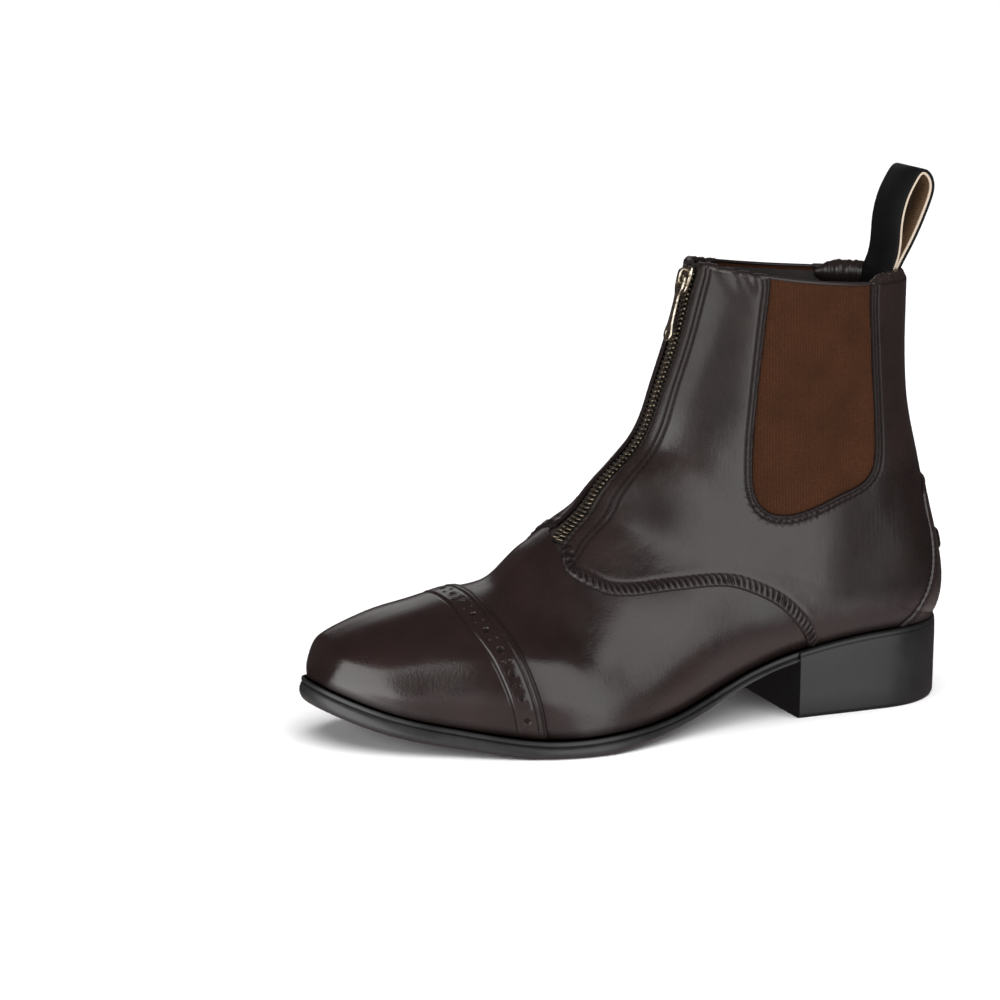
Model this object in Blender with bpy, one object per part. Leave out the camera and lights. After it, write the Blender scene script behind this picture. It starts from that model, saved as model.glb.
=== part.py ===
"""Left jodhpur boot with a front zip, elastic side gores and a moulded sole.

Sizes are in millimetres: x runs from the back of the heel to the toe, y to the
outer side of the foot, z up from the floor. The upper is a fan of sections whose
bases follow the back seam and then the edge of the sole, and whose crowns follow
the zip line and the ridge of the vamp.
"""
import math

import bmesh
import bpy
import numpy as np

MM = 0.001
FRAME_MIDDLE = (138.81, 3.32)

# Lengths of the last and the sole
FOOT_LENGTH = 280.0
HEEL_ROUND = 33.0
TOE_ROUND = 91.0
RIM = 2.6
JOINT_GAP = 0.3
SOLE_FORE = 8.6
SOLE_TOE = 10.4
SOLE_WAIST = 5.2
HEEL_BREAST = 76.3
HEEL_TAPER = 0.3
GROOVE_DEEP = 0.7
TREAD_DEEP = 1.0
TREAD_RIM = 9.5

# Layers, measured outward from the finished surface of the quarters
WALL = (-2.8, -1.0)
OVERLAY = (-0.7, 0.2)
COUNTER = (0.5, 1.3)
SPUR_REST = (1.6, 3.4)
GORE = (-2.6, -1.3)
TAPE = (-4.1, -3.1)
INSOLE_THICK = 2.4

# Zip
ZIP_SLIT = 11.0
ZIP_TAPE = 19.0
CHAIN_WIDE = 5.5
CHAIN = (-2.5, -0.6)
ZIP_END = 150.0
SLIDER_DOWN = 5.5
PULL_LONG = 28.0
PULL_WIDE = 7.4
PULL_THICK = 1.2

# Pull loop at the back of the collar
LOOP_WIDE = 24.0
LOOP_THICK = 1.8

# Outline of the sole edge: station, middle, outer half width, inner half width
PLAN = np.array([
    [0.0, 0.0, 28.9, 29.0],
    [35.0, 0.0, 31.3, 30.0],
    [70.0, 0.0, 31.4, 28.5],
    [105.0, 0.0, 34.0, 27.0],
    [140.0, 0.0, 43.5, 30.5],
    [175.0, 0.0, 52.4, 39.0],
    [205.0, -1.5, 48.5, 44.5],
    [235.0, -5.8, 41.5, 42.5],
    [280.0, -17.0, 46.5, 40.0],
])

# Height of the sole's upper edge: station, height
SEAT = np.array([
    [0.0, 35.1],
    [35.0, 34.9],
    [65.0, 31.7],
    [100.0, 23.4],
    [135.0, 11.9],
    [170.0, 8.55],
    [200.0, 8.15],
    [230.0, 12.2],
    [255.0, 17.3],
    [280.0, 26.6],
])

# Sections: base x and z (z from the sole edge below the heel row), crown x and z,
# middle, outer and inner half width, height of the widest place, outer and inner
# crown power, length of the rounded back, width at the back line as a share of the
# half width, sag of the sides, crowding of the points toward the base
SECTIONS = np.array([
    [14.4, 183.6, 113.9, 194.0, 0.0, 31.0, 31.0, 0.50, 2.20, 2.20, 48.0, 1.00, 3.0, 1.0],
    [15.1, 160.0, 122.2, 163.1, 0.0, 32.0, 32.0, 0.50, 2.20, 2.20, 48.0, 1.00, 1.0, 1.0],
    [13.0, 128.0, 131.0, 138.4, 0.0, 33.0, 33.0, 0.48, 2.10, 2.20, 45.0, 1.00, 0.0, 1.0],
    [6.0, 95.0, 140.4, 117.8, 0.0, 34.5, 34.0, 0.44, 2.00, 2.30, 41.0, 0.99, 0.0, 1.0],
    [-1.7, 62.0, 156.7, 102.7, 1.0, 35.0, 36.5, 0.40, 2.00, 2.45, 36.0, 0.93, 0.0, 1.0],
    [0.0, 35.1, 166.3, 92.8, 2.0, 35.0, 38.0, 0.38, 1.95, 2.55, 33.0, 0.79, 0.0, 1.0],
    [22.0, 0.0, 176.4, 86.3, 3.0, 35.0, 39.5, 0.38, 1.90, 2.60, 33.0, 0.79, 0.0, 0.6],
    [58.0, 0.0, 186.8, 79.7, 3.5, 37.0, 40.5, 0.36, 1.90, 2.60, 33.0, 0.79, 0.0, 0.2],
    [98.0, 0.0, 196.0, 72.5, 3.0, 41.5, 41.0, 0.34, 1.90, 2.60, 33.0, 0.79, 0.0, 0.0],
    [138.0, 0.0, 205.4, 64.2, 1.5, 49.0, 41.5, 0.29, 2.00, 2.55, 33.0, 0.79, 0.0, 0.0],
    [172.0, 0.0, 218.6, 61.3, -1.0, 54.6, 43.3, 0.26, 2.05, 2.55, 33.0, 0.79, 0.0, 0.0],
    [200.0, 0.0, 234.1, 56.7, -5.0, 52.2, 42.8, 0.24, 2.10, 2.45, 33.0, 0.79, 0.0, 0.0],
    [224.0, 0.0, 246.5, 52.8, -8.0, 44.1, 38.3, 0.23, 2.15, 2.75, 33.0, 0.79, 0.0, 0.0],
    [246.0, 0.0, 259.2, 47.9, -11.0, 35.9, 31.8, 0.23, 2.20, 2.95, 33.0, 0.79, 0.0, 0.0],
    [263.0, 0.0, 269.9, 43.2, -14.0, 27.6, 23.7, 0.24, 2.20, 2.95, 33.0, 0.79, 0.0, 0.0],
    [274.5, 0.0, 274.7, 38.3, -16.0, 17.4, 14.6, 0.27, 2.20, 2.65, 33.0, 0.79, 0.0, 0.0],
    [279.0, 0.0, 278.4, 27.9, -17.0, 8.0, 6.6, 0.35, 2.20, 2.20, 33.0, 0.79, 0.0, 0.0],
])
HEEL_ROW = 5

# Stations of the faceted form: rows up the shaft, bases along the sole, columns
SHAFT_ROWS = 12
SOLE_ROWS = [2.0, 7.0, 14.0, 23.0, 34.0, 46.0, 60.0, 75.0, 91.0, 107.0, 123.0, 139.0, 155.0, 170.0,
             185.0, 200.0, 214.0, 227.0, 239.0, 250.0, 260.0, 268.5, 275.0]
COLUMNS = 24

# Side outlines of the panels: x, z
GORE_LINE = [(90.0, 205.0), (90.3, 184.8), (92.5, 170.5), (95.6, 147.0), (98.0, 123.7), (98.7, 107.7),
             (98.0, 99.5), (94.5, 93.0), (88.0, 90.0), (80.6, 89.9), (70.0, 92.6), (57.0, 97.3),
             (47.3, 101.7), (43.5, 107.0), (41.9, 115.2), (41.9, 137.0), (43.0, 160.0), (43.6, 171.8),
             (43.4, 184.2), (43.4, 205.0)]
QUARTER_LINE = [(200.0, 230.0), (200.0, 120.0), (178.0, 92.0), (177.4, 85.5), (178.8, 80.5), (180.6, 75.0),
                (179.8, 71.6), (175.5, 68.3), (166.8, 63.3), (154.4, 61.9), (144.5, 62.4), (132.2, 62.7),
                (119.8, 62.6), (109.2, 61.3), (100.2, 57.8), (90.9, 52.7), (83.4, 46.0), (76.7, 38.3),
                (71.5, 30.6), (66.5, 22.0), (66.5, 0.0), (-40.0, 0.0), (-40.0, 230.0)]
CAP_LINE = [(206.0, 80.0), (208.5, 64.0), (210.0, 57.0), (209.7, 49.4), (206.6, 37.5), (201.5, 22.8),
            (198.0, 8.0), (197.0, -10.0), (320.0, -10.0), (320.0, 80.0)]
COUNTER_LINE = [(-40.0, 97.0), (6.0, 97.0), (11.5, 94.5), (13.2, 90.0), (11.6, 78.0), (10.9, 65.5),
                (12.4, 55.0), (16.7, 45.5), (22.0, 39.5), (28.2, 35.4), (31.0, 28.0), (31.0, 0.0), (-40.0, 0.0)]
SPUR_LINE = [(-40.0, 71.5), (6.0, 71.5), (6.0, 61.5), (-40.0, 61.5)]
SPUR_HALF = 11.0

# Zip line on the surface: distance down the fan of sections, place across it
ZIP_LINE = np.array([[0.0, 0.0], [60.0, 0.0], [95.0, 0.0], [116.0, 0.012], [140.0, 0.055], [165.0, 0.118]])

# Pull loop, side view of its middle line: x, z
LOOP_LINE = np.array([
    [23.9, 175.0], [23.6, 181.0], [22.4, 186.0], [19.9, 191.0], [14.9, 199.8], [10.2, 209.8],
    [7.2, 217.5], [6.5, 223.0], [8.6, 227.2], [12.0, 228.0], [15.4, 223.6], [18.8, 216.9],
    [21.2, 207.5], [21.8, 199.0], [23.0, 191.5], [25.2, 186.0], [26.1, 181.0], [26.3, 175.0],
])


def spline(knots, values, x):
    """Natural cubic through the rows of a table."""
    knots = np.asarray(knots, float)
    values = np.asarray(values, float)
    count = len(knots)
    step = np.diff(knots)
    matrix = np.eye(count)
    right = np.zeros_like(values)
    for i in range(1, count - 1):
        matrix[i, i - 1:i + 2] = step[i - 1], 2 * (step[i - 1] + step[i]), step[i]
        right[i] = 6 * ((values[i + 1] - values[i]) / step[i] - (values[i] - values[i - 1]) / step[i - 1])
    bend = np.linalg.solve(matrix, right)
    x = np.clip(np.asarray(x, float), knots[0], knots[-1])
    k = np.clip(np.searchsorted(knots, x, side="right") - 1, 0, count - 2)
    h = step[k]
    t = x - knots[k]
    if values.ndim > 1:
        h = h[..., None]
        t = t[..., None]
    s = h - t
    curve = (bend[k] * s ** 3 + bend[k + 1] * t ** 3) / (6 * h)
    return curve + (values[k] / h - bend[k] * h / 6) * s + (values[k + 1] / h - bend[k + 1] * h / 6) * t


def heel_round(distance, length):
    """Share of the full width at a distance from the back of a rounded heel."""
    return np.sqrt(np.clip(1 - np.clip(1 - distance / length, 0, 1) ** 2.2, 0, 1))


def sole_edge(x, rounded=True):
    """Outer and inner y of the sole edge at a station, without the rim."""
    x = np.asarray(x, float)
    middle, outer, inner = np.moveaxis(spline(PLAN[:, 0], PLAN[:, 1:], x), -1, 0)
    toe = np.clip((x - (FOOT_LENGTH - TOE_ROUND)) / TOE_ROUND, 0, 1)
    ends = np.clip(1 - toe ** 2.35, 0, 1) ** (1 / 1.9)
    if rounded:
        ends = ends * heel_round(x, HEEL_ROUND)
    return middle + outer * ends, middle - inner * ends


def seat(x):
    return spline(SEAT[:, 0], SEAT[:, 1], x)


def fan_knots():
    """Distance down the fan at each section, along the middles of the sections."""
    below = np.arange(len(SECTIONS)) > HEEL_ROW
    base_z = np.where(below, seat(SECTIONS[:, 0]), SECTIONS[:, 1])
    middle = (np.column_stack([SECTIONS[:, 0], base_z]) + SECTIONS[:, 2:4]) / 2
    return np.concatenate([[0], np.cumsum(np.linalg.norm(np.diff(middle, axis=0), axis=1))])


KNOTS = fan_knots()
FAN_HEEL = KNOTS[HEEL_ROW]


def section_rows(u):
    u = np.atleast_1d(np.asarray(u, float))
    rows = spline(KNOTS, SECTIONS, u)
    on_sole = u >= FAN_HEEL - 1e-6
    rows[on_sole, 0] = np.maximum(rows[on_sole, 0], 0.0)
    back = spline(KNOTS[:HEEL_ROW + 1], SECTIONS[:HEEL_ROW + 1, 1], u)
    rows[:, 1] = np.where(on_sole, seat(rows[:, 0]), back)
    return rows, on_sole


def surface(u, v):
    """Points of the finished surface: v is -1 at the inner base, 0 on the crown, 1 at the outer base."""
    rows, on_sole = section_rows(u)
    base_x, base_z, crown_x, crown_z, middle, wide_out, wide_in, level = [rows[:, i, None] for i in range(8)]
    power_out, power_in, back_round, back_wide, sag, crowd = [rows[:, i, None] for i in range(8, 14)]
    v = np.atleast_1d(np.asarray(v, float))[None, :]
    on_sole = on_sole[:, None]
    outer = v >= 0
    wide = np.where(outer, wide_out, wide_in)
    power = np.where(outer, power_out, power_in)
    edge_out, edge_in = sole_edge(base_x, False)
    edge = np.where(on_sole, np.where(outer, edge_out - middle, middle - edge_in), back_wide * wide)
    edge = np.clip(edge, 0, wide)
    tall = np.hypot(crown_x - base_x, crown_z - base_z)
    low = level * tall
    above = wide + tall - low
    foot = edge * heel_round(np.where(on_sole, base_x, 0.0), back_round)
    place = above / (above + low + wide - foot)
    a = np.abs(v)
    t = np.clip(a / place, 0, 1) * math.pi / 2
    high_h = low + (tall - low) * np.clip(np.cos(t), 0, 1) ** (2 / power)
    high_y = wide * np.sin(t) ** (2 / power)
    b = np.clip((a - place) / (1 - place), 0, 1)
    crowd = np.clip(crowd, 0, 1)
    low_h = low * (1 - (1 - crowd) * b - crowd * np.sin(b * math.pi / 2))
    from_back = (crown_x - base_x) * low_h / tall + np.where(on_sole, base_x, 0.0)
    bulge = np.sin(math.pi / 2 * low_h / low)
    low_y = (edge + (wide - edge) * bulge) * heel_round(from_back, back_round)
    y = np.where(a <= place, high_y, low_y)
    f = np.where(a <= place, high_h, low_h) / tall
    x = base_x + (crown_x - base_x) * f
    z = base_z + (crown_z - base_z) * f - sag * np.sin(math.pi * np.clip(a, 0, 1)) ** 2
    return np.stack([x, middle + np.where(outer, 1, -1) * y, z], -1)


def make_skin():
    """Faceted finished surface: points, faces, normals and the kind of each point."""
    fine = np.linspace(FAN_HEEL, KNOTS[-1], 4000)
    base_x = np.maximum.accumulate(section_rows(fine)[0][:, 0])
    u = np.concatenate([np.linspace(0, FAN_HEEL, SHAFT_ROWS), np.interp(SOLE_ROWS, base_x, fine)])
    grid = surface(u, np.linspace(-1, 1, COLUMNS + 1))
    points = []
    kinds = []
    index = np.zeros(grid.shape[:2], int)
    for i in range(len(u)):
        for j in range(COLUMNS + 1):
            if j == COLUMNS and i < SHAFT_ROWS:
                index[i, j] = index[i, 0]
                continue
            index[i, j] = len(points)
            points.append(grid[i, j])
            base = j in (0, COLUMNS) and i >= SHAFT_ROWS - 1
            kinds.append("base" if base else "collar" if i == 0 else "skin")
    middle = (sole_edge(FOOT_LENGTH)[0] + sole_edge(FOOT_LENGTH)[1]) / 2
    tip = len(points)
    points.append(np.array([FOOT_LENGTH, middle, seat(FOOT_LENGTH)]))
    kinds.append("base")
    faces = []
    points = np.array(points)
    for i in range(len(u) - 1):
        for j in range(COLUMNS):
            a, b, c, d = index[i, j], index[i + 1, j], index[i + 1, j + 1], index[i, j + 1]
            if np.linalg.norm(points[a] - points[c]) < np.linalg.norm(points[b] - points[d]):
                faces += [(a, b, c), (a, c, d)]
            else:
                faces += [(a, b, d), (b, c, d)]
    faces += [(index[-1, j], tip, index[-1, j + 1]) for j in range(COLUMNS)]
    normals = np.zeros_like(points)
    for face in faces:
        corner = points[list(face)]
        across = np.cross(corner[1] - corner[0], corner[2] - corner[0])
        for k in face:
            normals[k] += across
    for k, kind in enumerate(kinds):
        if kind != "skin":
            normals[k, 2] = 0.0
    normals /= np.linalg.norm(normals, axis=1)[:, None]
    return points, faces, normals, kinds


SKIN_POINTS, SKIN_FACES, SKIN_NORMALS, SKIN_KINDS = make_skin()


def layer_points(offset):
    points = SKIN_POINTS + SKIN_NORMALS * offset
    for k, kind in enumerate(SKIN_KINDS):
        if kind == "base":
            points[k, 2] = seat(points[k, 0])
    return points


def shell(limits, length=(-50.0, 400.0), height=(-50.0, 400.0)):
    """Closed solid between two offsets of the skin, over a stretch of the boot's length and height."""
    inner, outer = (layer_points(limit) for limit in limits)
    kept = []
    for face in SKIN_FACES:
        x, y, z = SKIN_POINTS[list(face)].mean(axis=0)
        if length[0] < x < length[1] and height[0] < z < height[1]:
            kept.append(face)
    used = sorted(set(k for face in kept for k in face))
    number = {k: n for n, k in enumerate(used)}
    kept = [tuple(number[k] for k in face) for face in kept]
    count = len(used)
    edges = {}
    for face in kept:
        for p, q in zip(face, face[1:] + face[:1]):
            edges[(p, q)] = True
    faces = list(kept)
    faces += [tuple(k + count for k in reversed(face)) for face in kept]
    for p, q in edges:
        if (q, p) not in edges:
            faces += [(q, p, p + count), (q, p + count, q + count)]
    return np.vstack([outer[used], inner[used]]), faces


def prism(line, low=-90.0, high=90.0):
    """Side outline pushed through across the boot."""
    line = np.asarray(line, float)
    area = np.sum(line[:, 0] * np.roll(line[:, 1], -1) - np.roll(line[:, 0], -1) * line[:, 1])
    if area < 0:
        line = line[::-1]
    count = len(line)
    near = np.column_stack([line[:, 0], np.full(count, low), line[:, 1]])
    far = np.column_stack([line[:, 0], np.full(count, high), line[:, 1]])
    faces = [tuple(range(count)), tuple(range(2 * count - 1, count - 1, -1))]
    for k in range(count):
        n = (k + 1) % count
        faces.append((n, k, k + count, n + count))
    return np.vstack([near, far]), faces


def ribbon(path, normals, sides, width, limits):
    """Strip swept along a path, between two heights over it."""
    low, high = limits
    half = width / 2
    rings = []
    for point, normal, side in zip(path, normals, sides):
        rings.append([point - side * half + normal * low, point + side * half + normal * low,
                      point + side * half + normal * high, point - side * half + normal * high])
    count = len(rings)
    faces = [(3, 2, 1, 0), tuple(4 * (count - 1) + k for k in range(4))]
    for i in range(count - 1):
        for k in range(4):
            n = (k + 1) % 4
            faces.append((4 * i + k, 4 * i + n, 4 * i + 4 + n, 4 * i + 4 + k))
    return np.array(rings).reshape(-1, 3), faces


def material(name, colour, roughness, metallic=0.0):
    paint = bpy.data.materials.new(name)
    paint.use_nodes = True
    shader = paint.node_tree.nodes["Principled BSDF"]
    shader.inputs["Base Color"].default_value = (*colour, 1.0)
    shader.inputs["Roughness"].default_value = roughness
    shader.inputs["Metallic"].default_value = metallic
    return paint


def solid(name, form, paint=None, origin=None):
    """Object from points in millimetres; cutters and guides have no paint and stay hidden."""
    points, faces = form
    frame = np.array([FRAME_MIDDLE[0], FRAME_MIDDLE[1], 0.0])
    place = np.zeros(3) if origin is None else np.asarray(origin, float) - frame
    mesh = bpy.data.meshes.new(name)
    mesh.from_pydata([tuple((p - frame - place) * MM) for p in np.asarray(points, float)], [], faces)
    work = bmesh.new()
    work.from_mesh(mesh)
    bmesh.ops.recalc_face_normals(work, faces=work.faces)
    work.to_mesh(mesh)
    work.free()
    item = bpy.data.objects.new(name, mesh)
    item.location = tuple(place * MM)
    bpy.context.collection.objects.link(item)
    if paint is None:
        item.hide_render = True
        item.display_type = "WIRE"
    else:
        mesh.materials.append(paint)
    return item


def trim(item, operation, cutter):
    step = item.modifiers.new(operation.lower() + " " + cutter.name, "BOOLEAN")
    step.operation = operation
    step.solver = "EXACT"
    step.object = cutter


for item in list(bpy.data.objects):
    bpy.data.objects.remove(item, do_unlink=True)

leather = material("brown leather", (0.035, 0.022, 0.019), 0.42)
cap_leather = material("toe cap leather", (0.034, 0.021, 0.018), 0.38)
counter_leather = material("counter leather", (0.033, 0.021, 0.019), 0.42)
elastic = material("brown elastic", (0.060, 0.024, 0.012), 0.85)
rubber = material("black rubber", (0.024, 0.025, 0.026), 0.62)
board = material("insole leather", (0.020, 0.018, 0.017), 0.75)
cloth = material("zip tape", (0.018, 0.013, 0.011), 0.85)
brass = material("brass teeth", (0.52, 0.36, 0.16), 0.32, 1.0)
nickel = material("slider metal", (0.62, 0.50, 0.32), 0.28, 1.0)
webbing = material("loop webbing", (0.012, 0.012, 0.012), 0.72)

# Sole: one moulded unit of plate and heel block, with an edge groove, a recessed tread
# between bars and cross grooves at the waist
STATIONS = FOOT_LENGTH * (1 - np.cos(np.linspace(0, math.pi, 47))) / 2


def sole_loop(inset, stations):
    """Edge loop of the sole, moved outward by an amount: outer points then inner points."""
    fine = FOOT_LENGTH * (1 - np.cos(np.linspace(0, math.pi, 1201))) / 2
    outer, inner = sole_edge(fine)
    loop = np.vstack([np.column_stack([fine, outer]), np.column_stack([fine, inner])[-2:0:-1]])
    along = np.roll(loop, -1, axis=0) - np.roll(loop, 1, axis=0)
    away = np.column_stack([-along[:, 1], along[:, 0]])
    away /= np.linalg.norm(away, axis=1)[:, None]
    shifted = loop + away * inset
    near = np.searchsorted(fine, np.clip(stations, 0, FOOT_LENGTH) - 1e-9)
    back = (len(loop) - near) % len(loop)
    return shifted[near], shifted[back]


def sole_under(x):
    along = [95.0, 140.0, 170.0, 220.0, FOOT_LENGTH]
    thick = np.interp(x, along, [SOLE_WAIST, 6.0, SOLE_FORE, SOLE_FORE, SOLE_TOE])
    return np.maximum(seat(x) - thick, 0.0)


def ladder(levels, stations):
    """Closed solid from loops, each a pair of inset and height function, with caps laid across."""
    rings = []
    for inset, height in levels:
        outer, inner = sole_loop(inset, stations)
        ring = np.vstack([outer, inner[-2:0:-1]])
        rings.append(np.column_stack([ring, height(np.clip(ring[:, 0], 0, FOOT_LENGTH))]))
    size = len(rings[0])
    last = len(stations) - 1
    faces = []
    for level in range(len(rings) - 1):
        for k in range(size):
            n = (k + 1) % size
            faces.append((level * size + k, level * size + n, (level + 1) * size + n, (level + 1) * size + k))
    for start in (0, (len(rings) - 1) * size):
        for k in range(last):
            quad = [k, k + 1, (size - k - 1) % size, (size - k) % size]
            faces.append(tuple(start + p for p in dict.fromkeys(quad)))
    return np.vstack(rings), faces


def sole_top(x):
    return seat(x) - JOINT_GAP


plate_levels = [
    (RIM, sole_top),
    (RIM, lambda x: sole_top(x) - 1.9),
    (RIM - GROOVE_DEEP, lambda x: sole_top(x) - 2.2),
    (RIM - GROOVE_DEEP, lambda x: sole_top(x) - 2.7),
    (RIM, lambda x: sole_top(x) - 3.0),
    (RIM, lambda x: sole_under(x) + 0.9),
    (RIM - 0.9, sole_under),
]
sole = solid("sole", ladder(plate_levels, STATIONS), rubber)


def heel_form():
    """Heel block: the heel end of the outline, closed by the flat breast."""
    stations = HEEL_BREAST * (1 - np.cos(np.linspace(0, math.pi / 2, 17)))
    rings = []
    for inset, level in ((RIM - 0.4, 0), (RIM - HEEL_TAPER, 1), (RIM - HEEL_TAPER - 0.6, 2)):
        outer, inner = sole_loop(inset, stations)
        ring = np.vstack([outer, inner[:0:-1]])
        height = {0: seat(np.clip(ring[:, 0], 0, None)) - 3.4, 1: 0.8 + 0 * ring[:, 0], 2: 0 * ring[:, 0]}[level]
        rings.append(np.column_stack([ring, height]))
    size = len(rings[0])
    faces = []
    for level in range(2):
        for k in range(size):
            n = (k + 1) % size
            faces.append((level * size + k, level * size + n, (level + 1) * size + n, (level + 1) * size + k))
    for start in (0, 2 * size):
        for k in range(16):
            quad = [k, k + 1, (size - k - 1) % size, (size - k) % size]
            faces.append(tuple(start + p for p in dict.fromkeys(quad)))
    return np.vstack(rings), faces


trim(sole, "UNION", solid("heel block", heel_form()))

# Tread bars stand between the recessed fields: field start and end stations
TREAD_FIELDS = [(134.0, 190.0), (197.5, 243.5), (250.0, 262.0)]
WAIST_GROOVES = [(114.0, 115.6), (119.0, 120.6), (124.0, 125.6)]


def tread_form(start, end, depth, inset):
    stations = np.linspace(start, end, max(2, int((end - start) / 7.0)))
    outer, inner = sole_loop(-inset, stations)
    rows = []
    for a, b in zip(outer, inner):
        top = sole_under(a[0]) + depth
        rows.append([(a[0], a[1], -6.0), (a[0], b[1], -6.0), (a[0], b[1], top), (a[0], a[1], top)])
    points = np.array(rows).reshape(-1, 3)
    count = len(rows)
    faces = [(3, 2, 1, 0), tuple(4 * (count - 1) + k for k in range(4))]
    for i in range(count - 1):
        for k in range(4):
            n = (k + 1) % 4
            faces.append((4 * i + k, 4 * i + n, 4 * i + 4 + n, 4 * i + 4 + k))
    return points, faces


for number, (start, end) in enumerate(TREAD_FIELDS):
    trim(sole, "DIFFERENCE", solid("tread field %d" % number, tread_form(start, end, TREAD_DEEP, TREAD_RIM)))
for number, (start, end) in enumerate(WAIST_GROOVES):
    trim(sole, "DIFFERENCE", solid("waist groove %d" % number, tread_form(start, end, 0.8, 6.0)))

# Insole: flat board inside the upper, just over the sole
INSOLE_INSET = WALL[0] - 1.7
insole_levels = [(INSOLE_INSET, lambda x: seat(x) + INSOLE_THICK), (INSOLE_INSET, seat)]
solid("insole", ladder(insole_levels, STATIONS), board)

# Upper: hollow leather wall with openings for the gores and the zip
upper = solid("upper", shell(WALL), leather)
gore_hole = solid("gore opening", prism(GORE_LINE))
trim(upper, "DIFFERENCE", gore_hole)


def zip_frame(u):
    """Path of the zip with its normal and the direction across it."""
    across = np.interp(u, ZIP_LINE[:, 0], ZIP_LINE[:, 1])
    points = np.array([surface(a, b)[0, 0] for a, b in zip(u, across)])
    down = np.array([surface(min(a + 0.5, 320.0), b)[0, 0] - surface(max(a - 0.5, 0.0), b)[0, 0]
                     for a, b in zip(u, across)])
    side = np.array([surface(a, b + 0.02)[0, 0] - surface(a, b - 0.02)[0, 0] for a, b in zip(u, across)])
    normal = np.cross(down, side)
    normal /= np.linalg.norm(normal, axis=1)[:, None]
    side /= np.linalg.norm(side, axis=1)[:, None]
    return points, normal, side


zip_u = np.linspace(0.0, ZIP_END, 26)
zip_path, zip_normal, zip_side = zip_frame(zip_u)
above = zip_path[0] + (zip_path[0] - zip_path[1])
slit_path = np.vstack([above, zip_path])
slit_normal = np.vstack([zip_normal[:1], zip_normal])
slit_side = np.vstack([zip_side[:1], zip_side])
slit = solid("zip slit", ribbon(slit_path, slit_normal, slit_side, ZIP_SLIT, (-9.0, 6.0)))
trim(upper, "DIFFERENCE", slit)

# Quarters, toe cap, counter and spur rest: layers over the wall
quarters = solid("quarters", shell(OVERLAY, (-50.0, 205.0)), leather)
trim(quarters, "INTERSECT", solid("quarter outline", prism(QUARTER_LINE)))
trim(quarters, "DIFFERENCE", gore_hole)
trim(quarters, "DIFFERENCE", slit)
toe_cap = solid("toe_cap", shell(OVERLAY, (180.0, 400.0)), cap_leather)
trim(toe_cap, "INTERSECT", solid("cap outline", prism(CAP_LINE)))
counter = solid("counter", shell(COUNTER, (-50.0, 60.0), (0.0, 120.0)), counter_leather)
trim(counter, "INTERSECT", solid("counter outline", prism(COUNTER_LINE)))
spur_rest = solid("spur_rest", shell(SPUR_REST, (-50.0, 30.0), (40.0, 100.0)), counter_leather)
trim(spur_rest, "INTERSECT", solid("spur outline", prism(SPUR_LINE, -SPUR_HALF, SPUR_HALF)))

# Gores: elastic panels inside the openings, a little smaller than the hole


def shrink(line, amount):
    line = np.asarray(line, float)
    along = np.roll(line, -1, axis=0) - np.roll(line, 1, axis=0)
    away = np.column_stack([-along[:, 1], along[:, 0]])
    away /= np.linalg.norm(away, axis=1)[:, None]
    middle = line.mean(axis=0)
    facing = np.sign(np.sum(away * (middle - line), axis=1))
    return line + away * facing[:, None] * amount


gore_line = shrink(GORE_LINE, JOINT_GAP)
for name, low, high in (("gore_outer", 0.0, 90.0), ("gore_inner", -90.0, 0.0)):
    gore = solid(name, shell(GORE, (20.0, 125.0), (70.0, 400.0)), elastic)
    trim(gore, "INTERSECT", solid(name + " outline", prism(gore_line, low, high)))

# Zip: woven tape behind the slit, closed chain of teeth, slider at the top
tape = solid("zip_tape", shell(TAPE, (85.0, 200.0), (60.0, 400.0)), cloth)
tape_cut = ribbon(slit_path, slit_normal, slit_side, ZIP_TAPE, (-9.0, 6.0))
trim(tape, "INTERSECT", solid("tape outline", tape_cut))
chain_path, chain_normal, chain_side = zip_frame(np.linspace(1.0, ZIP_END - 2.0, 26))
solid("zip_chain", ribbon(chain_path, chain_normal, chain_side, CHAIN_WIDE, CHAIN), brass)


def slider_frame():
    """Place of the slider on the zip: point, direction down the zip and outward."""
    points, normals, sides = zip_frame(np.array([SLIDER_DOWN]))
    out = normals[0]
    down = np.cross(np.array([0.0, 1.0, 0.0]), out)
    return points[0], down / np.linalg.norm(down), out


slider_at, slider_down, slider_out = slider_frame()


def slider_prism(line, half):
    """Outline in the slider's own frame, down and out, pushed through across it."""
    points, faces = prism(line, -half, half)
    return (slider_at + points[:, :1] * slider_down + points[:, 1:2] * np.array([0.0, 1.0, 0.0])
            + points[:, 2:] * slider_out), faces


BODY_LINE = [(-4.6, -0.3), (6.4, -0.3), (6.8, 0.2), (6.4, 1.0), (4.5, 1.4), (-4.0, 1.4), (-4.9, 0.9), (-4.9, 0.1)]
BRIDGE_LINE = [(-3.4, 1.0), (-3.4, 3.4), (-2.6, 4.3), (2.6, 4.3), (3.4, 3.4), (3.4, 1.0), (2.4, 1.0),
               (2.4, 3.1), (2.0, 3.5), (-2.0, 3.5), (-2.4, 3.1), (-2.4, 1.0)]
AXIS_OUT = 2.5
slider = solid("zip_slider", slider_prism(BODY_LINE, 4.6), nickel)
trim(slider, "UNION", solid("slider bridge", slider_prism(BRIDGE_LINE, 1.2)))

# Pull tab: hangs on the slider's bridge and turns about a line across the boot
hinge_at = slider_at + slider_out * AXIS_OUT
low_points, low_normals, low_sides = zip_frame(np.array([SLIDER_DOWN + PULL_LONG]))
pull_end = low_points[0] + low_normals[0] * 1.7
pull_down = pull_end - hinge_at
pull_down[1] = 0.0
pull_down /= np.linalg.norm(pull_down)
pull_out = np.cross(pull_down, np.array([0.0, 1.0, 0.0]))


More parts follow.
